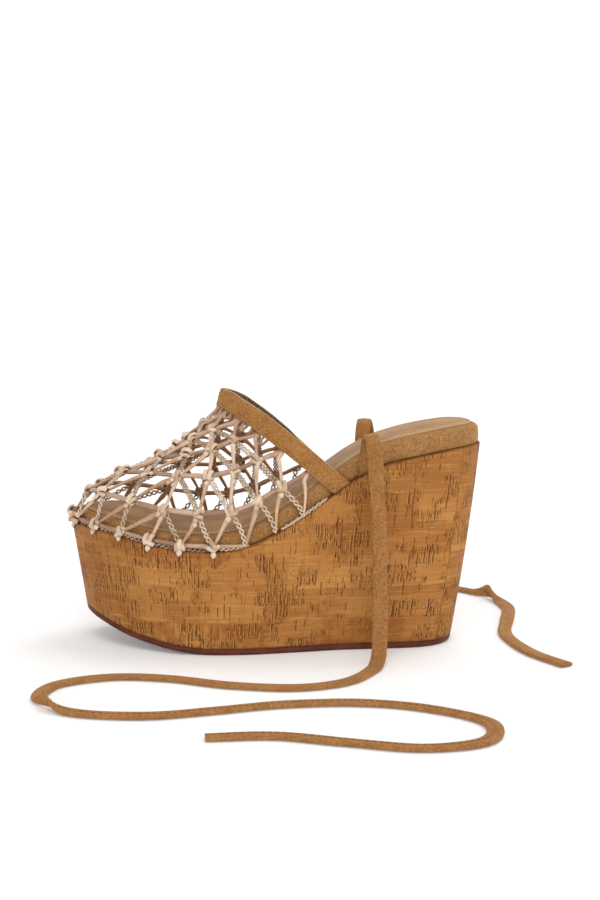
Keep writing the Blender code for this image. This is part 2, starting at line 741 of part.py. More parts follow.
def make_finish(name):
    red, green, blue, roughness = FINISHES[name]
    finish = bpy.data.materials.new(name)
    finish.use_nodes = True
    shader = finish.node_tree.nodes["Principled BSDF"]
    shader.inputs["Base Color"].default_value = (red, green, blue, 1.0)
    shader.inputs["Roughness"].default_value = roughness
    shader.inputs["Metallic"].default_value = 0.0
    return finish


def main():
    clear_objects()
    collection = bpy.data.collections.new("platform_sandal")
    bpy.context.scene.collection.children.link(collection)
    build_outsole(make_finish("outsole_rubber"), collection)
    build_wedge(make_finish("cork"), collection)
    build_footbed(make_finish("footbed_suede"), collection)
    build_insole(make_finish("insole_leather"), collection)
    build_net(make_finish("net_leather"), collection)
    build_band(make_finish("band_suede"), collection)
    tie_finish = make_finish("tie_suede")
    build_tie("tie_outer", OUTER_TIE_ROUTE, -1, tie_finish, collection)
    build_tie("tie_inner", INNER_TIE_ROUTE, 1, tie_finish, collection)


main()
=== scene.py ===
"""Looks of the platform sandal: cork wedge, suede footbed, knotted net, instep band and two ankle ties.

Metres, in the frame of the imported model: toe to -X, heel to +X, outer side to -Y, up +Z.
"""
import json
from math import acos, atan, copysign, cos, exp, hypot, pi, sin
from random import Random

import bmesh
import bpy
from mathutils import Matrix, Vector, noise

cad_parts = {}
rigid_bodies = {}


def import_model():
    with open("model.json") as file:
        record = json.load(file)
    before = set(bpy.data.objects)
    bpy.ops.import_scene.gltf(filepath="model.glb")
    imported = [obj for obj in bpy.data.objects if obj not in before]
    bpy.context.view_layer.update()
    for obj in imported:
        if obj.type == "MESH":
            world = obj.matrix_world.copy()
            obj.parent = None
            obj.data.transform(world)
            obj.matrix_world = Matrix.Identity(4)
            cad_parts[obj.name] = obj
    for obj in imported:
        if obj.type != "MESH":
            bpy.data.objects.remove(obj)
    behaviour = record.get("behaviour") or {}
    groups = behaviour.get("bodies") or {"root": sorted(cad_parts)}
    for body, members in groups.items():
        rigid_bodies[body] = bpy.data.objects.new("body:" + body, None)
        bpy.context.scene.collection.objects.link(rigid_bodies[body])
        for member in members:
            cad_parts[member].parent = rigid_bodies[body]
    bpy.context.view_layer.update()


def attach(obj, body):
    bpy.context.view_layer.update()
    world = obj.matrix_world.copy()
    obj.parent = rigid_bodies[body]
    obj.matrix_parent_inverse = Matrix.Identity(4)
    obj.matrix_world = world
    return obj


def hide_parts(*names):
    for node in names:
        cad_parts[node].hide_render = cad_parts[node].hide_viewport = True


for leftover in list(bpy.data.objects):
    bpy.data.objects.remove(leftover)
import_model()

# Camera and floor
CAMERA_PLACE = (0.0152, -0.900, 0.235)
CAMERA_DROP = 0.12135
FOCAL_PIXELS = 1537.0
FRAME_HEIGHT = 900.0
SENSOR = 36.0

# Sole
LENGTH = 0.2425
BALL_WIDTH = 0.090
TOE_TOP = 0.0719
BALL_TOP = 0.0610
HEEL_TOP = 0.1192
TOE_SPRING = 0.018
TOE_TUCK = 0.0085
HEEL_TUCK = 0.0165
SIDE_TUCK = 0.0035
HEEL_SIDE_TUCK = 0.0090
HEEL_BULGE = 0.0012
CORK_EDGE_RADIUS = 0.0009
OUTSOLE_THICKNESS = 0.0035
OUTSOLE_EDGE_RADIUS = 0.0009
OUTSOLE_HEEL_ROLL = 0.0030
HEEL_CURVE_SHARE = 0.90

# Footbed and insole
TOE_PAD = 0.0070
HEEL_PAD = 0.0120
PAD_BACK_DROP = 0.0015
PAD_EDGE_RADIUS = 0.0026
LEDGE = 0.0038
HEEL_LEDGE = 0.0012
INSOLE_THICKNESS = 0.0012
INSOLE_MARGIN = 0.0046

# Vamp net
KNOT_HEIGHT = 0.0050
EDGE_CLEARANCE = 0.00305
NET_INSET = 0.0009
NET_TOE_RISE = 0.0125
NET_TOE_SETBACK = 0.0065
ARCH_POWER = 1.25
ROW_CORD_RADIUS = 0.00126
SLANT_CORD_RADIUS = 0.00126
CHAIN_STRAND_RADIUS = 0.00048
CHAIN_HALF_WIDTH = 0.00130
CHAIN_HALF_DEPTH = 0.00055
CHAIN_LINK = 0.0034
EDGE_STRAND_RADIUS = 0.00042
WRAP_RADIUS = 0.00148
WRAP_LENGTH = 0.0065
BULB_RADIUS = 0.00175
LOOP_RADIUS = 0.00082
SEAM_START = -0.0160
EDGE_STRANDS_START = 0.0050

# Instep band
BAND_WIDTH = 0.0110
BAND_THICKNESS = 0.0026
BAND_OUTER_SEAT = 0.0350
BAND_INNER_SEAT = 0.0280
BAND_TOP = Vector((-0.0335, 0.0060, 0.1395))
TOE_SIDE = 0.0085
BAND_SEAT_INSET = 0.0017
BAND_TOP_LEAN = Vector((0.34, 0.0, 0.94))
BAND_STRAIGHT_SHARE = 0.80
LINING_THICKNESS = 0.0008
FOLD_WIDTH = 0.0017

# Ankle ties
TIE_WIDTH = 0.0085
TIE_THICKNESS = 0.0022
TIE_SEAM_DEPTH = 0.00035
TIE_CLEARANCE = 0.00034

GAP = 0.0003
STEP_ANGLE = 0.005
BLUNT_END = 0.6
STATIONS = 170
SEED = 11


def table(columns, rows):
    """Rows with named columns."""
    return [dict(zip(columns.split(), row)) for row in rows]


# Outline from above: share of the length, half breadth and middle as shares of the ball width
OUTLINE = table("along half middle", [
    (0.00, 0.000, 0.090),
    (0.02, 0.170, 0.089),
    (0.05, 0.270, 0.085),
    (0.10, 0.365, 0.074),
    (0.18, 0.445, 0.045),
    (0.28, 0.495, 0.012),
    (0.36, 0.500, 0.000),
    (0.46, 0.475, -0.018),
    (0.58, 0.418, -0.026),
    (0.70, 0.370, -0.018),
    (0.82, 0.354, -0.006),
    (0.90, 0.325, 0.000),
    (0.96, 0.245, 0.000),
    (1.00, 0.000, 0.000),
])

# Top of the cork: share of the toe's rise and of the heel's rise over the ball
CORK_TOP = table("along toe heel", [
    (0.00, 1.00, 0.000),
    (0.05, 0.90, 0.000),
    (0.10, 0.78, 0.000),
    (0.14, 0.61, 0.000),
    (0.19, 0.36, 0.000),
    (0.26, 0.12, 0.000),
    (0.34, 0.00, 0.000),
    (0.40, 0.00, 0.016),
    (0.45, 0.00, 0.064),
    (0.50, 0.00, 0.158),
    (0.56, 0.00, 0.304),
    (0.62, 0.00, 0.478),
    (0.68, 0.00, 0.656),
    (0.74, 0.00, 0.790),
    (0.80, 0.00, 0.868),
    (0.87, 0.00, 0.931),
    (0.94, 0.00, 0.979),
    (1.00, 0.00, 1.000),
])

# Underside: share of the toe spring
UNDERSIDE = table("along spring", [
    (0.000, 1.000),
    (0.067, 0.720),
    (0.125, 0.470),
    (0.180, 0.300),
    (0.240, 0.150),
    (0.300, 0.045),
    (0.345, 0.000),
    (1.000, 0.000),
])

# Footbed and sides: shares of the steps from toe to heel in pad, in ledge and in the side walls' tuck
FOOTBED = table("along pad ledge taper", [
    (0.00, 0.00, 0.00, 0.00),
    (0.20, 0.12, 0.00, 0.00),
    (0.36, 0.34, 0.00, 0.05),
    (0.60, 1.00, 0.00, 0.55),
    (0.76, 1.00, 0.00, 0.92),
    (0.84, 1.00, 1.00, 1.00),
    (1.00, 1.00, 1.00, 1.00),
])

# Ridge of the vamp, from the toe to the band: share of the run and of the rise
RIDGE = table("run rise", [
    (0.00, 0.000),
    (0.10, 0.035),
    (0.20, 0.120),
    (0.31, 0.240),
    (0.41, 0.325),
    (0.52, 0.400),
    (0.62, 0.480),
    (0.72, 0.590),
    (0.83, 0.750),
    (0.91, 0.880),
    (1.00, 1.000),
])

# Rows of knots, from the cork upwards: distance as a share of the band's length on that side,
# how much further up it lies half way between toe and band, knots, and how far they slide to the band
NET_ROWS = table("up crown knots slide", [
    (0.00, 0.00, 20, 0.00),
    (0.19, 0.05, 17, 0.60),
    (0.39, 0.16, 14, 0.62),
    (0.57, 0.20, 10, 0.42),
    (0.73, 0.22, 7, 0.00),
    (0.87, 0.10, 5, 0.00),
])

# Ties: the routes given for the model. Each comes out of the seam between cork and footbed,
# goes over the rim and hangs down to the floor, where it lies in loose bends
TIE_FALL = [
    (0.0530, -0.0324, 0.1085), (0.0532, -0.0325, 0.1140), (0.0536, -0.0332, 0.1195),
    (0.0542, -0.0358, 0.1245), (0.0550, -0.0404, 0.1270), (0.0558, -0.0450, 0.1254),
    (0.0566, -0.0482, 0.1210), (0.0574, -0.0496, 0.1140), (0.0582, -0.0498, 0.1040),
    (0.0596, -0.0488, 0.0800), (0.0606, -0.0480, 0.0540), (0.0608, -0.0486, 0.0300),
    (0.0602, -0.0530, 0.0125), (0.0585, -0.0630, 0.0028),
]
TIE_LEVEL = 0.0012
INNER_TIE_SHIFT = 0.0029
OUTER_TIE_ROUTE = TIE_FALL + [(x, y, TIE_LEVEL) for x, y in (
    (0.0540, -0.0780), (0.0400, -0.0990), (0.0130, -0.1100), (-0.0210, -0.1060), (-0.0550, -0.0930),
    (-0.0880, -0.0900), (-0.1150, -0.1050), (-0.1190, -0.1340), (-0.0980, -0.1540), (-0.0630, -0.1590),
    (-0.0270, -0.1500), (0.0090, -0.1390), (0.0460, -0.1370), (0.0810, -0.1470), (0.1080, -0.1700),
    (0.1040, -0.1980), (0.0740, -0.2080), (0.0380, -0.2000), (0.0040, -0.1900), (-0.0300, -0.1930),
)]
INNER_TIE_ROUTE = [(x, -y - INNER_TIE_SHIFT, z) for x, y, z in TIE_FALL] + [(x, y, TIE_LEVEL) for x, y in (
    (0.0530, 0.0750), (0.0360, 0.0930), (0.0040, 0.1010), (-0.0310, 0.0960), (-0.0650, 0.0940),
    (-0.0920, 0.1090), (-0.0950, 0.1370), (-0.0710, 0.1550), (-0.0350, 0.1550), (0.0010, 0.1460),
    (0.0370, 0.1410), (0.0740, 0.1420), (0.1090, 0.1330), (0.1370, 0.1090), (0.1490, 0.0740),
    (0.1440, 0.0370), (0.1390, 0.0000), (0.1470, -0.0360), (0.1640, -0.0660),
)]


# Shape of the shoe, from the same sizes as the model

def curve_of(rows, key, column):
    """Smooth curve through one column of a table, never past its rows, as a function."""
    keys = [row[key] for row in rows]
    values = [row[column] for row in rows]
    steps = [(values[i + 1] - values[i]) / (keys[i + 1] - keys[i]) for i in range(len(keys) - 1)]
    slopes = [steps[0]]
    for before, after in zip(steps, steps[1:]):
        slopes.append(2 * before * after / (before + after) if before * after > 0 else 0.0)
    slopes.append(steps[-1])

    def read(where):
        if where <= keys[0]:
            return values[0]
        if where >= keys[-1]:
            return values[-1]
        i = max(n for n in range(len(steps)) if keys[n] <= where)
        span = keys[i + 1] - keys[i]
        u = (where - keys[i]) / span
        return (
            values[i] * (1 + 2 * u) * (1 - u) ** 2
            + slopes[i] * span * u * (1 - u) ** 2
            + values[i + 1] * u * u * (3 - 2 * u)
            + slopes[i + 1] * span * u * u * (u - 1)
        )

    return read


def turn_of(along):
    """Angle round the outline for a share of the length."""
    return acos(max(-1.0, min(1.0, 1 - 2 * along)))


half_at = curve_of([{"turn": turn_of(row["along"]), "half": row["half"]} for row in OUTLINE], "turn", "half")
middle_at = curve_of(OUTLINE, "along", "middle")
toe_rise_at = curve_of(CORK_TOP, "along", "toe")
heel_rise_at = curve_of(CORK_TOP, "along", "heel")
spring_at = curve_of(UNDERSIDE, "along", "spring")
pad_at = curve_of(FOOTBED, "along", "pad")
ledge_at = curve_of(FOOTBED, "along", "ledge")
taper_at = curve_of(FOOTBED, "along", "taper")
ridge_at = curve_of(RIDGE, "run", "rise")


def share_along(x):
    return (x + LENGTH / 2) / LENGTH


def outline_point(turn, height_share):
    """Outline at a share of the sole's height. Turn 0 is the toe, pi the heel, below 0 the outer side."""
    if abs(turn) > pi:
        turn -= copysign(2 * pi, turn)
    along = (1 - cos(turn)) / 2
    drop = 1 - height_share
    front = -LENGTH / 2 + TOE_TUCK * drop
    back = LENGTH / 2 - HEEL_TUCK * drop + 4 * HEEL_BULGE * drop * height_share
    half = BALL_WIDTH * half_at(abs(turn))
    tuck = SIDE_TUCK + (HEEL_SIDE_TUCK - SIDE_TUCK) * taper_at(along)
    half *= 1 - tuck / (BALL_WIDTH / 2) * drop
    middle = BALL_WIDTH * middle_at(along)
    return Vector((front + along * (back - front), middle + (half if turn > 0 else -half), 0.0))


def outward_at(turn, height_share):
    ahead = outline_point(turn + STEP_ANGLE, height_share)
    behind = outline_point(turn - STEP_ANGLE, height_share)
    way = (ahead - behind).normalized()
    return Vector((-way.y, way.x, 0.0))


def inset_outline(turn, height_share, inset):
    return outline_point(turn, height_share) - inset * outward_at(turn, height_share)


def cork_top(x):
    along = share_along(x)
    return BALL_TOP + toe_rise_at(along) * (TOE_TOP - BALL_TOP) + heel_rise_at(along) * (HEEL_TOP - BALL_TOP)


def heel_curve(along):
    """0 up to where the heel's curve starts, then rising to 1 at the back."""
    return max(0.0, (along - HEEL_CURVE_SHARE) / (1 - HEEL_CURVE_SHARE)) ** 2


def pad_thickness(x):
    along = share_along(x)
    return TOE_PAD + (HEEL_PAD - TOE_PAD) * pad_at(along) - PAD_BACK_DROP * heel_curve(along)


def ledge_width(x):
    return LEDGE + (HEEL_LEDGE - LEDGE) * ledge_at(share_along(x))


def wall_point(turn, height_share, inset=0.0):
    """Point of the sole's side wall at a share of the height between underside and cork top."""
    low = TOE_SPRING * spring_at((1 - cos(turn)) / 2)
    high = cork_top(outline_point(turn, 1.0).x)
    point = inset_outline(turn, height_share, inset)
    point.z = low + height_share * (high - low)
    return point


def wall_height(turn):
    return wall_point(turn, 1.0).z - wall_point(turn, 0.0).z


def top_point(turn, inset, rise):
    """Point over the cork's top, at an inset from its edge and a rise above it."""
    point = inset_outline(turn, 1.0, inset)
    point.z = cork_top(point.x) + rise
    return point


def band_seat(side):
    x = BAND_OUTER_SEAT if side < 0 else BAND_INNER_SEAT
    return top_point(side * turn_of(share_along(x)), BAND_SEAT_INSET, GAP)


def arch(seat, top, turn, forward):
    """Point on the arch from a seat on the cork to the ridge. Forward 0 rises first, 1 goes straight."""
    over = (1 - cos(turn)) ** ARCH_POWER
    along = (1 - forward) * over + forward * sin(turn)
    return Vector((
        seat.x + (top.x - seat.x) * along,
        seat.y + (top.y - seat.y) * over,
        seat.z + (top.z - seat.z) * sin(turn),
    ))


def band_frame(place):
    """Front edge of the band, its way, its width direction and its outward face at a place from -1 to 1."""
    side = -1 if place < 0 else 1
    seat = band_seat(side)
    turn = (1 - abs(place)) * pi / 2
    edge = arch(seat, BAND_TOP, turn, BAND_STRAIGHT_SHARE)
    ahead = arch(seat, BAND_TOP, min(turn + STEP_ANGLE, pi / 2), BAND_STRAIGHT_SHARE)
    behind = arch(seat, BAND_TOP, max(turn - STEP_ANGLE, 0.0), BAND_STRAIGHT_SHARE)
    way = (ahead - behind).normalized() * -side
    rise = BAND_TOP - seat
    low_lean = Vector((rise.z, 0.0, -rise.x)).normalized()
    lean = low_lean.lerp(BAND_TOP_LEAN, sin(turn) ** 2)
    lean = (lean - way * lean.dot(way)).normalized()
    return edge, way, lean, lean.cross(way).normalized()


def net_seat(place):
    """Bottom of the net at a place from -1, the band's outer end, over 0, the toe, to 1, its inner end."""
    side = -1 if place < 0 else 1
    front_edge, _, lean, _ = band_frame(side)
    end_x = (front_edge - lean * EDGE_CLEARANCE).x
    return top_point(side * abs(place) * turn_of(share_along(end_x)), NET_INSET, GAP + KNOT_HEIGHT / 2)


def net_ridge(share):
    """Ridge of the vamp at a share of the way from the toe to the band."""
    toe = inset_outline(0.0, 1.0, NET_INSET)
    end = BAND_TOP - band_frame(0.0)[2] * EDGE_CLEARANCE
    start_z = cork_top(toe.x) + GAP + KNOT_HEIGHT / 2 + NET_TOE_RISE
    start_x = toe.x + NET_TOE_SETBACK
    side = TOE_SIDE + (BAND_TOP.y - TOE_SIDE) * share
    return Vector((start_x + (end.x - start_x) * share, side, start_z + (end.z - start_z) * ridge_at(share)))


def net_curve(place, steps=24):
    """Line on the vamp from its seat on the cork up to the ridge."""
    seat = net_seat(place)
    if abs(place) == 1:
        line = [seat]
        for k in range(1, steps + 1):
            edge, _, lean, _ = band_frame(place * (1 - k / steps))
            line.append(edge - lean * EDGE_CLEARANCE)
        return [point for point in line if point.z >= seat.z]
    top = net_ridge(abs(place))
    forward = BAND_STRAIGHT_SHARE * abs(place) ** 2
    return [arch(seat, top, k / steps * pi / 2, forward) for k in range(steps + 1)]


def line_length(line):
    return sum((end - start).length for start, end in zip(line, line[1:]))


def point_at(line, distance):
    """Point at a distance along a line, or None past its end."""
    for start, end in zip(line, line[1:]):
        span = (end - start).length
        if distance <= span:
            return start.lerp(end, distance / span)
        distance -= span
    return None


def spread_along(line, count, slide):
    """Points on a line with its two ends. The others slide to the nearer end, most a quarter of the way."""
    total = line_length(line)
    points = [line[0]]
    for k in range(1, count - 1):
        shift = slide * sin(2 * pi * k / (count - 1))
        points.append(point_at(line, total * (k - shift) / (count - 1)))
    return points + [line[-1]]


def smooth_line(points, steps):
    """Points on a smooth curve through the given points."""
    ends = [2 * points[0] - points[1]] + points + [2 * points[-1] - points[-2]]
    line = []
    for i in range(1, len(ends) - 2):
        before, start, end, after = ends[i - 1 : i + 3]
        for k in range(steps):
            u = k / steps
            line.append(0.5 * (
                2 * start
                + (end - before) * u
                + (2 * before - 5 * start + 4 * end - after) * u * u
                + (3 * start - before - 3 * end + after) * u ** 3
            ))
    line.append(points[-1])
    return line


def directions(line):
    """Unit direction at each point of a line."""
    last = len(line) - 1
    return [(line[min(i + 1, last)] - line[max(i - 1, 0)]).normalized() for i in range(last + 1)]


def nearest(line, place):
    """Number of the line's point that is nearest to a place."""
    return min(range(len(line)), key=lambda n: (line[n] - place).length)


def roughen(point, size, amount):
    """A small smooth shift for handmade unevenness."""
    return amount * noise.noise_vector(point / size)


# Mesh building

class Piece:
    """Points and faces of one piece, with named values for its finish at each point."""

    def __init__(self, *value_names):
        self.points = []
        self.faces = []
        self.values = {name: [] for name in value_names}

    def point(self, place, **values):
        self.points.append(place)
        for name, listed in self.values.items():
            listed.append(values.get(name, 0.0))
        return len(self.points) - 1

    def skin(self, rings):
        """Faces between closed rings of point numbers."""
        for lower, upper in zip(rings, rings[1:]):
            for k in range(len(lower)):
                after = (k + 1) % len(lower)
                self.faces.append((lower[k], lower[after], upper[after], upper[k]))

    def strip(self, rings):
        """Skin with one flat face at each end."""
        self.skin(rings)
        self.faces += [tuple(rings[0]), tuple(rings[-1])]

    def tube(self, line, outs, radius, sides=8, wide=1.0, turn=0.0, twist=0.0, **values):
        """Round or flattened cord along a line, with blunt ends.

        outs is its outward side, at each point or the same all along. radius is a number, or a function of
        the share along the line.
        """
        if isinstance(outs, Vector):
            outs = [outs] * len(line)
        radius_at = radius if callable(radius) else lambda share: radius
        ways = directions(line)
        rings = []
        for i, place in enumerate(line):
            share = i / (len(line) - 1)
            out = (outs[i] - ways[i] * outs[i].dot(ways[i])).normalized()
            across = out.cross(ways[i])
            roll = turn + twist * share
            ring = []
            for k in range(sides):
                angle = 2 * pi * k / sides
                flat = Vector((cos(angle) / wide, sin(angle) * wide))
                rise = flat.x * cos(roll) - flat.y * sin(roll)
                shift = flat.x * sin(roll) + flat.y * cos(roll)
                corner = place + radius_at(share) * (rise * out + shift * across)
                ring.append(self.point(corner, facing=rise, **values))
            rings.append(ring)
        self.skin(rings)
        start_tip = line[0] - ways[0] * radius_at(0.0) * BLUNT_END
        end_tip = line[-1] + ways[-1] * radius_at(1.0) * BLUNT_END
        for ring, tip in ((rings[0], start_tip), (rings[-1], end_tip)):
            centre = self.point(tip, **values)
            self.faces += [(ring[k], ring[(k + 1) % sides], centre) for k in range(sides)]

    def make(self, name, finish, node=None):
        """The mesh object, which rides on the shoe and may stand for a node of the model."""
        mesh = bpy.data.meshes.new(name)
        mesh.from_pydata(self.points, [], self.faces)
        for value_name, listed in self.values.items():
            mesh.attributes.new(value_name, "FLOAT", "POINT").data.foreach_set("value", listed)
        work = bmesh.new()
        work.from_mesh(mesh)
        bmesh.ops.recalc_face_normals(work, faces=work.faces[:])
        work.to_mesh(mesh)
        work.free()
        mesh.shade_smooth()
        mesh.materials.append(finish)
        item = bpy.data.objects.new(name, mesh)
        bpy.context.scene.collection.objects.link(item)
        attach(item, "root")
        if node:
            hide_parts(node)
        return item


def add_stitches(piece, line, outs, pitch, length, radius, first=0):
    """A row of stitches, each sunk at both ends. outs is the outward side, at each point or all along."""
    for k in range(first, int(line_length(line) / pitch)):
        start = point_at(line, k * pitch)
        end = point_at(line, k * pitch + length)
        if end:
            out = outs if isinstance(outs, Vector) else outs[nearest(line, start)]
            sunk = out * radius * 0.6
            bowed = smooth_line([start - sunk, start.lerp(end, 0.5) + sunk, end - sunk], 3)
            piece.tube(bowed, out, radius, sides=6)


# Finishes

def srgb(red, green, blue):
    """Linear colour from the 0 to 255 values seen in a picture."""
    def linear(value):
        value /= 255
        return value / 12.92 if value <= 0.04045 else ((value + 0.055) / 1.055) ** 2.4
    return (linear(red), linear(green), linear(blue), 1.0)


class Finish:
    """A material and short forms for the nodes that the finishes share."""

    def __init__(self, name, roughness=0.6, sheen=0.0, sheen_tint=(1, 1, 1, 1), coat=0.0, specular=0.5):
        self.material = bpy.data.materials.new(name)
        self.material.use_nodes = True
        self.tree = self.material.node_tree
        self.shader = self.tree.nodes["Principled BSDF"]
        self.shader.inputs["Roughness"].default_value = roughness
        self.shader.inputs["Sheen Weight"].default_value = sheen
        self.shader.inputs["Sheen Roughness"].default_value = 0.45
        self.shader.inputs["Sheen Tint"].default_value = sheen_tint
        self.shader.inputs["Coat Weight"].default_value = coat
        self.shader.inputs["Specular IOR Level"].default_value = specular

    def set(self, socket, value):
        """Link another node's output to a socket, or set the socket's own value."""
        if isinstance(value, bpy.types.NodeSocket):
            self.tree.links.new(value, socket)
        else:
            socket.default_value = value

    def add(self, kind, **inputs):
        node = self.tree.nodes.new("ShaderNode" + kind)
        for name, value in inputs.items():
            self.set(node.inputs[name.replace("_", " ")], value)
        return node

    def value(self, name):
        node = self.add("Attribute")
        node.attribute_name = name
        return node

    def place(self):
        return self.add("TexCoord").outputs["Object"]

    def vector(self, operation, *values):
        node = self.add("VectorMath")
        node.operation = operation
        for socket, value in zip(node.inputs, values):
            self.set(socket, value)
        return node.outputs["Value" if operation == "LENGTH" else "Vector"]

    def scaled(self, vector, scale, shift=(0, 0, 0)):
        return self.vector("MULTIPLY_ADD", vector, scale, shift)

    def split(self, vector):
        """The three numbers of a vector."""
        return self.add("SeparateXYZ", Vector=vector).outputs

    def math(self, operation, first, second=0.0, third=0.0):
        node = self.add("Math")
        node.operation = operation
        for socket, value in zip(node.inputs, (first, second, third)):
            self.set(socket, value)
        return node.outputs[0]

    def times(self, first, second):
        return self.math("MULTIPLY", first, second)

    def highest(self, first, *others):
        for other in others:
            first = self.math("MAXIMUM", first, other)
        return first

    def smooth(self, value, low, high):
        """0 below low, 1 above high and a soft step between; high may be below low."""
        turned = high < low
        node = self.add("MapRange", Value=value, From_Min=min(low, high), From_Max=max(low, high),
                        To_Min=float(turned), To_Max=float(not turned))
        node.interpolation_type = "SMOOTHSTEP"
        return node.outputs["Result"]

    def noise(self, vector, scale, detail=3.0, rough=0.55, distortion=0.0):
        node = self.add("TexNoise", Vector=vector, Scale=scale, Detail=detail, Roughness=rough,
                        Distortion=distortion)
        return node.outputs["Fac"]

    def wobble(self, vector, scale, amount):
        """The vector, shifted by noise up to an amount."""
        noise = self.add("TexNoise", Vector=vector, Scale=scale, Detail=2.0).outputs["Color"]
        return self.vector("ADD", vector, self.scaled(noise, (amount,) * 3, (-amount / 2,) * 3))

    def mix(self, share, first, second):
        node = self.add("Mix")
        node.data_type = "RGBA"
        self.set(node.inputs["Factor"], share)
        self.set(node.inputs[6], first)
        self.set(node.inputs[7], second)
        return node.outputs[2]

    def over(self, colour, mask, other, amount):
        """The colour, with another laid over it where the mask is 1, to an amount."""
        return self.mix(self.times(mask, amount), colour, other)

    def bump(self, height, distance, before=None):
        node = self.add("Bump", Height=height, Distance=distance, Strength=1.0)
        if before:
            self.set(node.inputs["Normal"], before)
        return node.outputs["Normal"]

    def use(self, colour, normal=None, roughness=None):
        self.set(self.shader.inputs["Base Color"], colour)
        if normal:
            self.set(self.shader.inputs["Normal"], normal)
        if roughness:
            self.set(self.shader.inputs["Roughness"], roughness)
        return self.material


def veneer_patches(f, flat, width, tall, shift=(0.0, 0.0, 0.0)):
    """Laid pieces of veneer, each with its own share from 0 to 1."""
    node = f.add("TexBrick", Vector=f.scaled(flat, (1, 1, 1), shift), Scale=1.0, Color1=(0, 0, 0, 1),
                 Color2=(1, 1, 1, 1), Mortar_Size=0.0, Brick_Width=width, Row_Height=tall)
    node.offset = 0.37
    return node.outputs["Color"]


def veneer_strokes(f, flat, cells, kept, half_width, half_length):
    """Upright strokes, one in some of the cells of a grid with this many cells a metre across and up."""
    across, tall = cells
    scaled = f.scaled(flat, (across, tall, 1.0))
    node = f.add("TexVoronoi", Vector=scaled, Scale=1.0, Randomness=0.85)
    away = f.split(f.vector("SUBTRACT", scaled, node.outputs["Position"]))
    chance = f.add("SeparateColor", Color=node.outputs["Color"]).outputs
    sideways = f.math("DIVIDE", f.math("ABSOLUTE", away[0]), across)
    along = f.math("DIVIDE", f.math("ABSOLUTE", away[1]), tall)
    width = f.math("MULTIPLY_ADD", chance[1], half_width, 0.55 * half_width)
    length = f.math("MULTIPLY_ADD", chance[2], half_length, 0.25 * half_length)
    inside = f.times(f.smooth(f.math("SUBTRACT", width, sideways), -0.00002, 0.00009),
                     f.smooth(f.math("SUBTRACT", length, along), -0.0001, 0.0005))
    return f.times(inside, f.math("LESS_THAN", chance[0], kept))


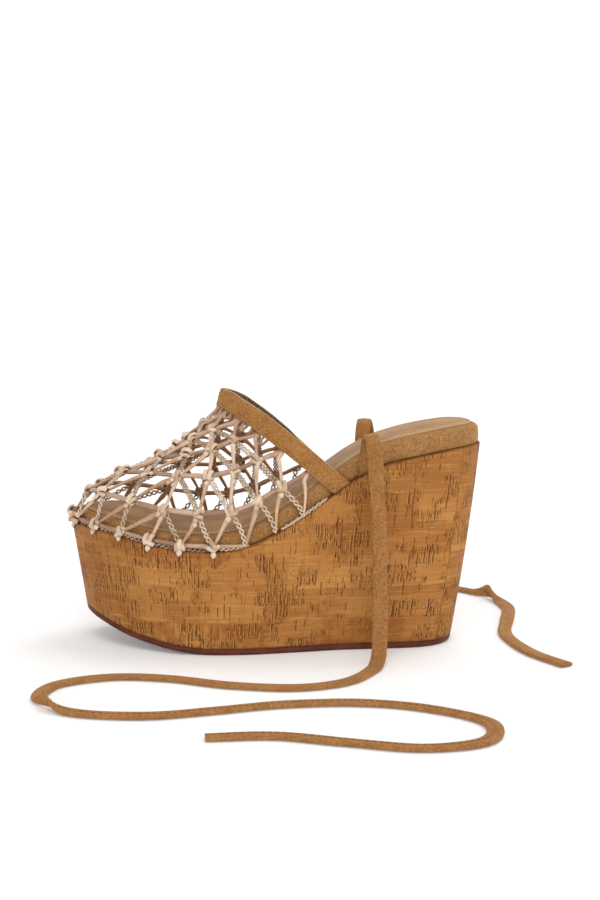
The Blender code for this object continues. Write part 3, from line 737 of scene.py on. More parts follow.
def cork_finish():
    """Cork veneer laid round the wedge: level grain, patches, upright dark pores and pale flecks."""
    f = Finish("cork_veneer", roughness=0.6, specular=0.16)
    round_place, height, to_edge = f.split(f.value("unrolled").outputs["Vector"])
    flat = f.add("CombineXYZ", X=round_place, Y=height).outputs[0]
    bent = f.wobble(flat, 160.0, 0.0030)
    place = f.split(f.wobble(f.place(), 400.0, 0.0016))

    colour = f.mix(veneer_patches(f, bent, 0.037, 0.0190), srgb(145, 89, 40), srgb(196, 140, 75))
    small_patches = veneer_patches(f, bent, 0.027, 0.0125, (0.011, 0.005, 0.0))
    colour = f.over(colour, small_patches, srgb(200, 145, 78), 0.50)
    colour = f.over(colour, f.smooth(f.noise(flat, 28.0), 0.40, 0.66), srgb(158, 99, 42), 0.40)
    colour = f.over(colour, f.smooth(height, 0.034, 0.062), srgb(164, 99, 44), 0.26)
    # Painted shade: darker towards the toe, where the wedge turns away from the light; also darker towards
    # the top of the heel
    toe_shade_and_darker_top = f.highest(f.smooth(place[0], -0.050, -0.115), f.smooth(height, 0.070, 0.105))
    colour = f.over(colour, toe_shade_and_darker_top, srgb(140, 88, 40), 0.42)

    level = f.wobble(flat, 420.0, 0.0010)
    streaks = f.noise(f.scaled(level, (38.0, 620.0, 1.0)), 1.0, detail=4.0, rough=0.6)
    upright = f.noise(f.scaled(level, (520.0, 45.0, 1.0)), 1.0, detail=3.0)
    colour = f.over(colour, f.smooth(streaks, 0.50, 0.68), srgb(212, 158, 90), 0.34)
    colour = f.over(colour, f.smooth(streaks, 0.47, 0.30), srgb(132, 78, 36), 0.42)
    colour = f.over(colour, f.smooth(upright, 0.54, 0.70), srgb(140, 84, 38), 0.32)
    blotches = f.smooth(f.noise(f.scaled(flat, (75.0, 95.0, 1.0)), 1.0, detail=2.0), 0.52, 0.62)
    colour = f.over(colour, f.times(blotches, f.smooth(height, 0.034, 0.012)), srgb(142, 78, 24), 0.55)

    ragged = f.wobble(f.wobble(flat, 1100.0, 0.00042), 170.0, 0.0009)
    groups = f.noise(f.scaled(flat, (78.0, 62.0, 1.0), (3.0, 7.0, 0.0)), 1.0, detail=1.5)
    chosen = f.smooth(veneer_patches(f, bent, 0.0150, 0.0105, (0.004, 0.002, 0.0)), 0.60, 0.64)
    in_group = f.highest(f.times(chosen, f.smooth(groups, 0.38, 0.44)), f.smooth(groups, 0.58, 0.61))
    near_group = f.highest(chosen, f.smooth(groups, 0.55, 0.60))

    def strokes(shift, *sizes):
        return veneer_strokes(f, f.vector("ADD", ragged, shift), *sizes)

    long_strokes = strokes((0.0, 0.0, 0.0), (450.0, 105.0), 0.85, 0.00034, 0.0050)
    lone_strokes = strokes((0.5, 0.3, 0.0), (300.0, 100.0), 0.26, 0.00024, 0.0040)
    short_strokes = strokes((0.0, 0.0, 0.0), (820.0, 300.0), 0.30, 0.00018, 0.0014)
    specks = strokes((0.9, 0.7, 0.0), (700.0, 420.0), 0.06, 0.00024, 0.0006)
    vein = f.noise(f.scaled(ragged, (330.0, 170.0, 1.0), (5.0, 2.0, 0.0)), 1.0, detail=1.0)
    veins = f.smooth(f.math("ABSOLUTE", f.math("SUBTRACT", vein, 0.5)), 0.020, 0.006)
    gritty = f.smooth(f.noise(flat, 1500.0, detail=2.0), 0.34, 0.50)
    pores = f.highest(f.times(long_strokes, in_group), lone_strokes, f.times(short_strokes, near_group),
                      specks, f.times(veins, f.times(near_group, 0.55)))
    pores = f.times(pores, f.math("MULTIPLY_ADD", gritty, 0.55, 0.45))

    pale_strokes = strokes((-0.00055, 0.0003, 0.0), (450.0, 105.0), 0.85, 0.00030, 0.0050)
    pale = f.times(pale_strokes, f.times(in_group, gritty))
    colour = f.over(colour, pale, srgb(226, 176, 104), 0.50)
    colour = f.over(colour, in_group, srgb(146, 84, 30), 0.22)
    ringed = f.smooth(f.noise(f.scaled(flat, (150.0, 120.0, 1.0), (1.0, 4.0, 0.0)), 1.0), 0.44, 0.56)
    colour = f.over(colour, pores, f.mix(ringed, srgb(98, 52, 16), srgb(56, 27, 9)), 0.84)

    seam = f.smooth(f.math("ABSOLUTE", f.split(f.wobble(flat, 300.0, 0.0005))[0]), 0.00045, 0.00018)
    colour = f.over(colour, seam, srgb(88, 48, 20), 0.70)
    colour = f.over(colour, f.smooth(to_edge, 0.0013, 0.0002), srgb(106, 60, 28), 0.55)
    torn = f.times(f.smooth(place[0], LENGTH / 2 - 0.0030, LENGTH / 2 - 0.0016),
                   f.smooth(place[2], HEEL_TOP - 0.0052, HEEL_TOP - 0.0034))
    colour = f.over(colour, torn, srgb(112, 58, 36), 0.85)

    relief = f.math("SUBTRACT", f.times(streaks, 0.35), f.highest(pores, seam))
    normal = f.bump(relief, 0.00016, before=f.bump(f.noise(flat, 3200.0, detail=2.0), 0.00004))
    return f.use(colour, normal, f.math("MULTIPLY_ADD", pores, 0.20, 0.62))


def suede_finish(name, lit, dark, nap=0.00010, sheen=0.25):
    """Napped suede: soft clouds where the nap lies differently, fine fibres and a dull sheen."""
    f = Finish(name, roughness=0.92, sheen=sheen, sheen_tint=srgb(236, 202, 150), specular=0.15)
    deep = tuple(0.55 * part for part in dark[:3]) + (1.0,)
    place = f.place()
    clouds = f.noise(place, 95.0, detail=4.0, rough=0.6)
    brushed = f.noise(f.wobble(place, 240.0, 0.003), 760.0, detail=3.0)
    fibres = f.noise(place, 1700.0, detail=3.0, rough=0.7)
    share = f.math("MULTIPLY_ADD", clouds, 0.40, f.times(brushed, 0.70))
    colour = f.mix(f.smooth(share, 0.40, 0.72), dark, lit)
    colour = f.over(colour, f.smooth(fibres, 0.47, 0.32), deep, 0.60)
    colour = f.over(colour, f.smooth(fibres, 0.56, 0.72), srgb(214, 174, 118), 0.42)
    return f.use(colour, f.bump(fibres, nap, before=f.bump(brushed, nap * 1.6)))


def insole_finish():
    """Smooth leather with soft level creases and a paler cut edge."""
    f = Finish("insole_leather", roughness=0.55, specular=0.12)
    place = f.place()
    clouds = f.noise(place, 42.0, detail=4.0)
    creases = f.noise(f.scaled(f.wobble(place, 90.0, 0.004), (120.0, 620.0, 300.0)), 1.0, detail=3.0)
    grain = f.add("TexVoronoi", Vector=place, Scale=1500.0).outputs["Distance"]
    colour = f.mix(f.smooth(clouds, 0.35, 0.68), srgb(150, 110, 70), srgb(174, 135, 90))
    colour = f.over(colour, f.smooth(creases, 0.54, 0.72), srgb(136, 98, 70), 0.28)
    colour = f.mix(f.value("cut_edge").outputs["Fac"], colour, srgb(190, 158, 118))
    normal = f.bump(f.math("ADD", grain, f.times(creases, 0.8)), 0.00005)
    return f.use(colour, normal, f.math("MULTIPLY_ADD", clouds, 0.16, 0.50))


def cord_finish(name, lit, dark, inside, edge=(-0.05, -0.62)):
    """Leather cord: smooth outside with fine creases, brown on the side turned in from the vamp, partly raw
    leather and partly painted shade.
    """
    f = Finish(name, roughness=0.42, specular=0.5, coat=0.3)
    place = f.place()
    clouds = f.noise(place, 260.0, detail=3.0)
    creases = f.noise(place, 1400.0, detail=2.0, distortion=0.8)
    share = f.math("MULTIPLY_ADD", clouds, 0.6, f.times(f.value("tint").outputs["Fac"], 0.5))
    colour = f.mix(f.smooth(share, 0.32, 0.78), dark, lit)
    colour = f.over(colour, f.smooth(creases, 0.56, 0.74), dark, 0.45)
    # Painted shade: points facing inward past the edge range take the inner colour, which is partly the raw
    # brown leather side
    colour = f.mix(f.smooth(f.value("facing").outputs["Fac"], *edge), colour, inside)
    return f.use(colour, f.bump(creases, 0.00009), f.math("MULTIPLY_ADD", clouds, 0.22, 0.26))


def rubber_finish():
    """Red-brown rubber with pale level scuffs."""
    f = Finish("outsole_rubber", roughness=0.5, specular=0.22)
    place = f.place()
    scuffs = f.noise(f.scaled(place, (240.0, 240.0, 1500.0)), 1.0, detail=3.0)
    clouds = f.smooth(f.noise(place, 140.0, detail=4.0), 0.35, 0.68)
    colour = f.over(f.mix(clouds, srgb(80, 35, 20), srgb(102, 48, 29)), f.smooth(scuffs, 0.62, 0.78),
                    srgb(126, 72, 50), 0.30)
    return f.use(colour, f.bump(scuffs, 0.00006), f.math("MULTIPLY_ADD", scuffs, 0.3, 0.34))


def thread_finish(name, colour_low, colour_high):
    f = Finish(name, roughness=0.75, specular=0.3)
    strands = f.noise(f.place(), 2600.0, detail=2.0)
    return f.use(f.mix(f.smooth(strands, 0.4, 0.6), colour_low, colour_high), f.bump(strands, 0.00005))


# Sole pieces

def ring_turns(count, start=-pi):
    return [start + k * 2 * pi / count for k in range(count)]


def loft_rings(piece, rings):
    """Skin through closed rings, with both ends laid straight across from side to side."""
    piece.skin(rings)
    count = len(rings[0])
    half = count // 2
    for ring in (rings[0], rings[-1]):
        piece.faces.append((ring[0], ring[1], ring[count - 1]))
        piece.faces.append((ring[half - 1], ring[half], ring[half + 1]))
        for k in range(1, half - 1):
            piece.faces.append((ring[k], ring[k + 1], ring[count - k - 1], ring[count - k]))


SEAM_TURN = -turn_of(0.951)
WALL_RINGS = 44
CORNER_STEPS = 4
LEDGE_INSETS = (0.0018, 0.0032, 0.0050)
HEEL_ROLL_RISE = 0.35
SOCK_STITCH_INSET = 0.0028


def make_outsole():
    """Rubber sheet with a rounded lower edge, wider round the back of the heel."""
    piece = Piece()
    section = [(1 - sin(pi / 2 * k / CORNER_STEPS), 1 - cos(pi / 2 * k / CORNER_STEPS))
               for k in range(CORNER_STEPS + 1)]
    section.append((0.0, OUTSOLE_THICKNESS / OUTSOLE_EDGE_RADIUS))
    rings = []
    for inward, lift in section:
        ring = []
        for turn in ring_turns(2 * STATIONS):
            roll = OUTSOLE_HEEL_ROLL * heel_curve((1 - cos(turn)) / 2)
            rise = lift * OUTSOLE_EDGE_RADIUS
            if 0 < lift < 2:
                rise += lift * roll * HEEL_ROLL_RISE
            share = min(rise, OUTSOLE_THICKNESS) / wall_height(turn)
            ring.append(piece.point(wall_point(turn, share, inward * (OUTSOLE_EDGE_RADIUS + roll))))
        rings.append(ring)
    loft_rings(piece, rings)
    return piece.make("outsole_rubber", rubber_finish(), "outsole")


def make_wedge():
    """Cork wedge with its veneer's own coordinates: way round, height and distance to the nearest edge."""
    low = OUTSOLE_THICKNESS + GAP

    def wall(turn, share):
        tall = wall_height(turn)
        rise = low + share * (tall - CORK_EDGE_RADIUS - low)
        place = wall_point(turn, rise / tall)
        return place, place.z, min(rise - low, tall - rise)

    def corner(turn, share):
        angle = share * pi / 2
        place = top_point(turn, CORK_EDGE_RADIUS * (1 - cos(angle)), CORK_EDGE_RADIUS * (sin(angle) - 1))
        return place, place.z, 0.0

    def ledge(turn, inset):
        place = top_point(turn, inset, 0.0)
        return place, place.z + inset, inset

    levels = [(wall, k / WALL_RINGS) for k in range(WALL_RINGS + 1)]
    levels += [(corner, k / CORNER_STEPS) for k in range(1, CORNER_STEPS + 1)]
    levels += [(ledge, inset) for inset in LEDGE_INSETS]
    count = 2 * STATIONS
    turns = ring_turns(count)
    piece = Piece()
    rings = []
    veneer = []
    for part, amount in levels:
        ring = []
        for turn in turns:
            place, height, to_edge = part(turn, amount)
            ring.append(piece.point(place))
            veneer.append((height, to_edge))
        rings.append(ring)
    loft_rings(piece, rings)
    item = piece.make("cork_wedge_veneer", cork_finish(), "cork_wedge")

    middle = [outline_point(turn, 0.5) for turn in turns]
    gone = [0.0]
    for start, end in zip(middle, middle[1:] + middle[:1]):
        gone.append(gone[-1] + (end - start).length)
    seam = gone[min(range(count), key=lambda k: abs(turns[k] - SEAM_TURN))]
    mesh = item.data
    unrolled = mesh.attributes.new("unrolled", "FLOAT_VECTOR", "CORNER")
    flat = [0.0] * (3 * len(mesh.loops))
    for face in mesh.polygons:
        corners = [mesh.loops[i].vertex_index for i in face.loop_indices]
        numbers = [corner % count for corner in corners]
        crosses = max(numbers) - min(numbers) > count // 2
        ways_round = [gone[number] + (gone[count] if crosses and number < count // 2 else 0.0) - seam
                      for number in numbers]
        before_seam = gone[count] if min(ways_round) < 0 else 0.0
        for i, number, way_round in zip(face.loop_indices, corners, ways_round):
            flat[3 * i : 3 * i + 3] = (way_round + before_seam, *veneer[number])
    unrolled.data.foreach_set("vector", flat)


def footbed_point(turn, inset):
    """Point on the cork's top, an inset in from the foot of the footbed's rim."""
    edge = outline_point(turn, 1.0)
    point = top_point(turn, ledge_width(edge.x) + inset, 0.0)
    point.z = cork_top(point.x)
    return point


def make_footbed():
    """Padded rim and top, pulled in at the seam on the cork and slightly uneven as wrapped suede is."""
    levels = [(0.0007, 0.0, 0.0), (0.0001, 0.1034, 0.0), (-0.0001, 0.3448, 0.0), (-0.0002, 0.6897, 0.0),
              (-0.0001, 1.0, 0.0)]
    for k in range(1, 8):
        angle = pi / 2 * k / 7
        levels.append((PAD_EDGE_RADIUS * (1 - cos(angle)), 1.0, PAD_EDGE_RADIUS * sin(angle)))
    levels.append((INSOLE_MARGIN, 1.0, PAD_EDGE_RADIUS))
    piece = Piece()
    rings = []
    for number, (inset, share, over) in enumerate(levels):
        ring = []
        for turn in ring_turns(2 * STATIONS):
            point = footbed_point(turn, inset)
            point.z += GAP + share * (pad_thickness(point.x) - PAD_EDGE_RADIUS) + over
            if 0 < number < len(levels) - 2:
                point += roughen(point, 0.009, 0.00028)
            ring.append(piece.point(point))
        rings.append(ring)
    loft_rings(piece, rings)
    finish = suede_finish("footbed_suede", srgb(178, 132, 82), srgb(144, 101, 57), nap=0.00016)
    item = piece.make("footbed_suede", finish, "footbed")


def sock_point(turn, inset, rise):
    """Point of the sock, an inset in from its edge and a rise over its underside."""
    point = footbed_point(turn, INSOLE_MARGIN + inset)
    point.z += 2 * GAP + pad_thickness(point.x) + rise
    return point


def make_insole():
    """Sock with a cut edge and a shallow groove for its stitches."""
    soft = 0.0005
    top = INSOLE_THICKNESS
    steps = [(-0.0002, -0.8 * GAP), (0.0, top - soft), (0.3 * soft, top - 0.3 * soft), (soft, top),
             (0.0022, top), (SOCK_STITCH_INSET, top - 0.00018), (0.0034, top)]
    piece = Piece("cut_edge")
    rings = []
    for inset, rise in steps:
        rings.append([piece.point(sock_point(turn, inset, rise), cut_edge=float(inset < soft))
                      for turn in ring_turns(2 * STATIONS)])
    loft_rings(piece, rings)
    piece.make("insole_sock", insole_finish(), "insole")

    line = [sock_point(turn, SOCK_STITCH_INSET, top - 0.00014)
            for turn in ring_turns(6 * STATIONS, start=-2 * pi)]
    stitches = Piece()
    add_stitches(stitches, line, Vector((0.0, 0.0, 1.0)), 0.0027, 0.0017, 0.00020)
    stitches.make("insole_stitches", thread_finish("insole_thread", srgb(196, 164, 132), srgb(222, 196, 166)))


# Net

def knot_rows():
    """Rows of knots: each is a U round the toe, further up the vamp than the last."""
    steps = 72
    places = [-1 + 2 * k / steps for k in range(steps + 1)]
    curves = [net_curve(place) for place in places]
    lengths = (line_length(curves[0]), line_length(curves[-1]))
    rows = []
    for row in NET_ROWS:
        line = []
        for place, curve in zip(places, curves):
            crown = 1 + row["crown"] * 4 * abs(place) * (1 - abs(place))
            point = point_at(curve, row["up"] * crown * lengths[0 if place < 0 else 1])
            line += [point] if point else []
        rows.append(spread_along(line, row["knots"], row["slide"]))
    rows.append([net_ridge(1.0)])
    return rows


def net_lattice():
    """Knots with their normals, and the cords between them by kind: row, slant or chain."""
    rows = knot_rows()
    lattice = bmesh.new()
    placed = [[lattice.verts.new(point) for point in row] for row in rows]
    cords = []
    for row in placed:
        cords += [(first, second, "row") for first, second in zip(row, row[1:])]
    for lower, upper in zip(placed, placed[1:]):
        i = 0
        j = 0
        last_i = len(lower) - 1
        last_j = len(upper) - 1
        while i < last_i or j < last_j:
            if i < last_i and (j == last_j or (i + 0.5) * last_j <= (j + 0.5) * last_i):
                lattice.faces.new((lower[i], lower[i + 1], upper[j]))
                i += 1
                cords.append((lower[i], upper[j], "slant"))
            else:
                lattice.faces.new((lower[i], upper[j + 1], upper[j]))
                j += 1
                cords.append((lower[i], upper[j], "chain"))
    lattice.normal_update()
    if placed[0][0].normal.y > 0:
        bmesh.ops.reverse_faces(lattice, faces=lattice.faces[:])
        lattice.normal_update()
    at_band = {row[0] for row in placed} | {row[-1] for row in placed}
    return lattice, placed, cords, at_band


def under_band(place, distance):
    """Point under the band near a knot beside its front edge, a distance in from that edge."""
    best = min((band_frame(-1 + k / 40) for k in range(81)), key=lambda found: (found[0] - place).length)
    edge, _, lean, face = best
    return edge + lean * distance - face * (BAND_THICKNESS / 2 + SLANT_CORD_RADIUS), face


def cord_line(first, second, at_band, random, bow):
    """Line of a cord between two knots, bowed a little, with its outward directions."""
    span = second.co - first.co
    bend = first.normal.angle(second.normal, 0.0)
    outward = (first.normal + second.normal).normalized()
    swell = outward * span.length * bend / 2
    side = outward.cross(span).normalized()
    sway = random.uniform(-bow, bow)
    lift = random.uniform(-0.0003, 0.0005)
    line = []
    outs = []
    steps = 14
    for k in range(steps + 1):
        share = k / steps
        place = first.co + span * share + swell * share * (1 - share)
        place += side * sway * sin(pi * share) + outward * lift * sin(pi * share)
        line.append(place)
        outs.append(first.normal.lerp(second.normal, share))
    for knot, at_end in ((first, False), (second, True)):
        if knot in at_band:
            near, face = under_band(knot.co, 0.0010)
            deep, _ = under_band(knot.co, 0.0060)
            if at_end:
                line = line[:-2] + [near, deep]
                outs = outs[:-2] + [face, face]
            else:
                line = [deep, near] + line[2:]
                outs = [face, face] + outs[2:]
    return line, outs


def resampled(line, outs, count):
    """The line and its outward directions at evenly spaced places on a smooth curve."""
    fine = smooth_line(line, 4)
    fine_outs = smooth_line(outs, 4)
    total = line_length(fine)
    places = []
    directions_out = []
    done = 0.0
    index = 0
    for k in range(count + 1):
        goal = total * k / count
        while index < len(fine) - 2 and done + (fine[index + 1] - fine[index]).length < goal:
            done += (fine[index + 1] - fine[index]).length
            index += 1
        span = (fine[index + 1] - fine[index]).length
        share = min(1.0, max(0.0, (goal - done) / span))
        places.append(fine[index].lerp(fine[index + 1], share))
        directions_out.append(fine_outs[index].lerp(fine_outs[index + 1], share).normalized())
    return places, directions_out


def add_twined(piece, line, outs, half_width, half_depth, link, radius, tint, strands=2):
    """Strands that cross each other once a link, as an open chain of two or a flat braid of three."""
    total = line_length(line)
    count = max(8, int(total / link * 7))
    places, faces = resampled(line, outs, count)
    ways = directions(places)
    for strand in range(strands):
        strand_line = []
        for k, place in enumerate(places):
            angle = pi * total * k / count / link + 2 * pi * strand / strands
            fade = min(1.0, k / 3, (count - k) / 3)
            across = faces[k].cross(ways[k]).normalized()
            depth = cos(angle) if strands == 2 else sin(2 * angle)
            uneven = roughen(place, 0.0016, 0.00030) + roughen(place * (1 + strand), 0.0030, 0.00022)
            strand_line.append(place + across * half_width * sin(angle) * fade + faces[k] * half_depth * depth
                               + uneven)
        piece.tube(strand_line, faces, radius, sides=6, tint=tint)


def slant_radius(share):
    """Thin where the cord leaves the lower knot, full at the upper one, with a bulb just under it."""
    bulb = 0.20 * exp(-((share - 0.70) / 0.090) ** 2)
    return 0.58 + 0.42 * share + bulb - 0.30 * max(0.0, (share - 0.90) / 0.10) ** 2


def add_plain_cord(piece, kind, line, outs, tint, random):
    """One cord between two knots, a little flattened, turned and uneven."""
    places, faces = resampled(line, outs, 20)
    base = (ROW_CORD_RADIUS if kind == "row" else SLANT_CORD_RADIUS) * random.uniform(0.90, 1.08)
    pinch = random.uniform(0.12, 0.30)
    ripple = random.uniform(0.0, 2 * pi)

    def radius(share):
        if kind == "slant":
            return base * (slant_radius(share) + 0.04 * sin(9 * share + ripple))
        return base * (1 - pinch * (2 * share - 1) ** 4 + 0.05 * sin(9 * share + ripple))

    piece.tube(places, faces, radius, sides=12, wide=random.uniform(1.04, 1.20),
               turn=random.uniform(-0.6, 0.6), twist=random.uniform(-0.9, 0.9), tint=tint)


def add_chain(piece, line, outs, plain, tint, random):
    """A flat braid of three strands, or beside the bottom row a narrower chain of two."""
    width = CHAIN_HALF_WIDTH * (0.82 if plain else random.uniform(0.95, 1.15))
    add_twined(piece, line, outs, width, CHAIN_HALF_DEPTH, CHAIN_LINK * random.uniform(0.92, 1.15),
               CHAIN_STRAND_RADIUS * (1.12 if plain else 1.0), tint, strands=2 if plain else 3)


def add_edge_chains(piece, knots, random):
    """Chains from the bottom knots back along the cork's edge, and one longer chain on each side."""
    for knot in knots:
        if knot.co.x > SEAM_START:
            continue
        turn = turn_beside(knot.co)
        toward = -1 if turn < 0 else 1
        line = []
        for k in range(6):
            share = k / 5
            low = top_point(turn + toward * (0.010 + 0.155 * share), 0.0010 + 0.0016 * share, 0.0009)
            line.append(knot.co.lerp(low, min(1.0, 0.35 + 1.1 * share)))
        out = (outward_at(turn, 1.0) + Vector((0, 0, 0.8))).normalized()
        add_twined(piece, line, [out] * len(line), 0.00100, 0.00045, 0.0028, 0.00042, random.random())
    for side in (-1, 1):
        seat_turn = side * turn_of(share_along(band_seat(side).x - 0.004))
        stop_turn = side * turn_of(share_along(EDGE_STRANDS_START))
        line = [top_point(seat_turn + (stop_turn - seat_turn) * k / 24, 0.0011, 0.0010) for k in range(25)]
        out = (outward_at(seat_turn, 1.0) + Vector((0, 0, 1.0))).normalized()
        add_twined(piece, line, [out] * len(line), 0.00060, 0.00045, 0.0036, EDGE_STRAND_RADIUS, 0.7)


def make_net_cords(lattice_parts, random):
    """All cords between the knots, by kind, with the loops and chains at the net's edges."""
    _, placed, cords, at_band = lattice_parts
    rows = Piece("tint", "facing")
    slants = Piece("tint", "facing")
    chains = Piece("tint", "facing")
    bottom_knots = set(placed[0])
    for first, second, kind in cords:
        if first in at_band and second in at_band and kind != "row":
            continue
        line, outs = cord_line(first, second, at_band, random, 0.0004 if kind == "row" else 0.0010)
        tint = random.random()
        if kind == "row" and first in bottom_knots and max(first.co.x, second.co.x) > SEAM_START:
            if min(first.co.x, second.co.x) <= SEAM_START:
                add_seam_end(slants, first, second, tint)
            continue
        if first in bottom_knots and first.co.x > SEAM_START:
            seam = in_seam(first.co, first.normal)
            line[:4] = [seam.lerp(line[3], k / 3) for k in range(4)]
        if kind == "chain":
            add_chain(chains, line, outs, first in bottom_knots, tint, random)
        else:
            add_plain_cord(rows if kind == "row" else slants, kind, line, outs, tint, random)
    add_band_loops(rows, random)
    add_edge_chains(chains, placed[0][1:-1], random)

    # Brown of the cords' inner side: partly the raw flesh side of the leather, partly painted shade
    inside = srgb(156, 114, 78)
    finish = cord_finish("row_cord_leather", srgb(198, 163, 136), srgb(150, 112, 84), inside)
    rows.make("net_row_cords", finish, "vamp_net")
    finish = cord_finish("slant_cord_leather", srgb(218, 186, 154), srgb(176, 136, 102), inside)
    slants.make("net_slant_cords", finish)
    finish = cord_finish("chain_leather", srgb(222, 202, 176), srgb(176, 146, 116), inside)
    chains.make("net_chain_braids", finish)


def in_seam(place, out):
    """Point in the seam between footbed and cork beside a point of the net's bottom row."""
    level = Vector((out.x, out.y, 0.0)).normalized()
    return place - level * 0.0010 - Vector((0.0, 0.0, 0.0022))


def add_seam_end(piece, first, second, tint):
    """Last cord of the bottom row: straight from its knot into the seam."""
    knot, beyond = (first, second) if first.co.x < second.co.x else (second, first)
    seam = in_seam(knot.co.lerp(beyond.co, 1.1), beyond.normal)
    line = [knot.co.lerp(seam, k / 12) for k in range(13)]
    piece.tube(line, knot.normal, lambda share: SLANT_CORD_RADIUS * (1.05 - 0.45 * share), sides=12,
               wide=1.15, tint=tint)


def add_band_loops(piece, random):
    """Small loops of cord that come out from under the band's front edge, closest together at its top."""
    count = 18
    for number in range(count):
        spread = -1 + 2 * (number + 0.5) / count
        place = 0.55 * spread * abs(spread) ** 0.3 + random.uniform(-0.02, 0.02)
        edge, way, lean, face = band_frame(place)
        low = -face * (BAND_THICKNESS / 2 + LOOP_RADIUS)
        reach = random.uniform(0.0035, 0.0075)
        half = random.uniform(0.0010, 0.0022)
        tilt = random.uniform(-0.0020, 0.0020)
        line = []
        for k in range(13):
            angle = pi * k / 12
            forward = 0.0030 - (reach + 0.0030) * sin(angle)
            line.append(edge + low + lean * forward + way * (half * cos(angle) + tilt * sin(angle))
                        + face * (0.0022 * sin(angle) + 0.0008 * cos(angle)))
        radius = LOOP_RADIUS * random.uniform(0.85, 1.15)
        piece.tube(line, face, radius, sides=8, tint=random.random())


def turn_beside(place):
    """Turn round the outline that is nearest to a place in the net's bottom row."""
    turns = [k / 100 for k in range(-220, 221)]
    return min(turns, key=lambda turn: (inset_outline(turn, 1.0, NET_INSET) - place.xy.to_3d()).length)


# Turns of cord that make up a knot, from below to above: middle to the side and down as shares of the
# turn's length, angle from straight down, height over the knot's middle, length and thickness as shares
KNOT_FORMS = [table("side down angle lift long thick", form) for form in (
    [(0.00, 0.20, 1.50, 0.00, 1.10, 0.90),
     (-0.22, -0.10, 0.16, 0.12, 1.05, 1.00), (0.22, -0.12, -0.22, 0.14, 0.98, 1.04)],
    [(-0.20, 0.14, 0.95, 0.00, 0.95, 0.95),
     (0.24, 0.12, -0.70, 0.04, 0.95, 0.98), (0.02, -0.16, 0.62, 0.20, 1.15, 1.06)],
    [(0.02, -0.26, 1.62, 0.04, 1.00, 0.92),
     (0.04, 0.20, 1.36, 0.02, 1.10, 0.98), (-0.06, -0.04, -0.35, 0.22, 1.12, 1.00)],
    [(-0.26, 0.06, -0.10, 0.06, 1.00, 1.00),
     (0.02, -0.08, 0.20, 0.18, 1.15, 0.98), (0.28, 0.04, 0.48, 0.06, 0.92, 0.94)],
)]


def add_wrap(piece, middle, out, way, length, radius, tint):
    """One turn of cord over a knot: half a ring whose ends go straight in."""
    bend = max(0.0004, length / 2 - radius)
    angles = [pi * (-0.62 + 1.24 * k / 8) for k in range(9)]
    line = [middle + way * bend * sin(angle) + out * bend * 0.85 * cos(angle) for angle in angles]
    piece.tube(line, out, radius, sides=10, tint=tint)


def add_bulb(piece, middle, out, way, length, radius, tint):
    """Rounded swelling of a cord where it leaves its knot."""
    line = [middle + way * length * (k / 8 - 0.5) for k in range(9)]
    piece.tube(line, out, lambda share: radius * (1.02 - (2 * share - 1) ** 2) ** 0.5, sides=10, tint=tint)


def make_net_knots(lattice_parts, random):
    """Tight knots, each of three turns of cord with creases between them painted dark as shade, and bulbs on
    the cord below.
    """
    _, placed, cords, at_band = lattice_parts
    piece = Piece("tint", "facing")
    lowest = Vector((0, 0, -1.0))
    below = {upper: lower for lower, upper, kind in cords if kind == "slant"}
    for row_number, row in enumerate(placed):
        for knot in row:
            if knot in at_band or (row_number == 0 and knot.co.x > SEAM_START):
                continue
            out = knot.normal.copy()
            centre = knot.co.copy()
            if row_number == 0:
                level = Vector((out.x, out.y, 0.0)).normalized()
                centre += level * 0.0006 - Vector((0, 0, 0.0003))
                out = (level + Vector((0, 0, 0.45))).normalized()
            down = lowest
            if knot in below:
                down = (below[knot].co - knot.co).normalized() + 0.5 * lowest
            down = (down - out * down.dot(out)).normalized()
            side = out.cross(down)
            length = WRAP_LENGTH * random.uniform(0.90, 1.08) * (1.04 if row_number == 0 else 1.0)
            mirrored = random.choice((-1, 1))
            lean = random.uniform(-0.3, 0.3)
            for turn in random.choice(KNOT_FORMS):
                angle = mirrored * turn["angle"] + lean + random.uniform(-0.15, 0.15)
                way = cos(angle) * down + sin(angle) * side
                shift = mirrored * turn["side"] * side + turn["down"] * down + turn["lift"] * out
                thick = WRAP_RADIUS * turn["thick"] * random.uniform(0.92, 1.08)
                add_wrap(piece, centre + length * shift, out, way, length * turn["long"], thick,
                         random.uniform(0.30, 1.0))
            plump = BULB_RADIUS * random.uniform(0.85, 1.05)
            reach = 0.62 * length
            for _ in range(random.choice((1, 1, 2)) if row_number else 1):
                middle = centre + down * reach + side * random.uniform(-0.0005, 0.0005) + out * 0.0004
                add_bulb(piece, middle, out, down, 2.3 * plump, plump, random.uniform(0.4, 1.0))
                reach += 1.7 * plump
                plump *= 0.86
    # Painted crease shade: the sides of each turn, where it meets the next, go dark brown
    finish = cord_finish("knot_leather", srgb(228, 204, 176), srgb(178, 140, 110), srgb(104, 66, 40),
                         edge=(0.56, -0.16))
    piece.make("net_knots", finish)


# Band

BAND_PROFILE_STEPS = 7
BAND_STEPS = 110
BAND_UNEVEN = 0.00035


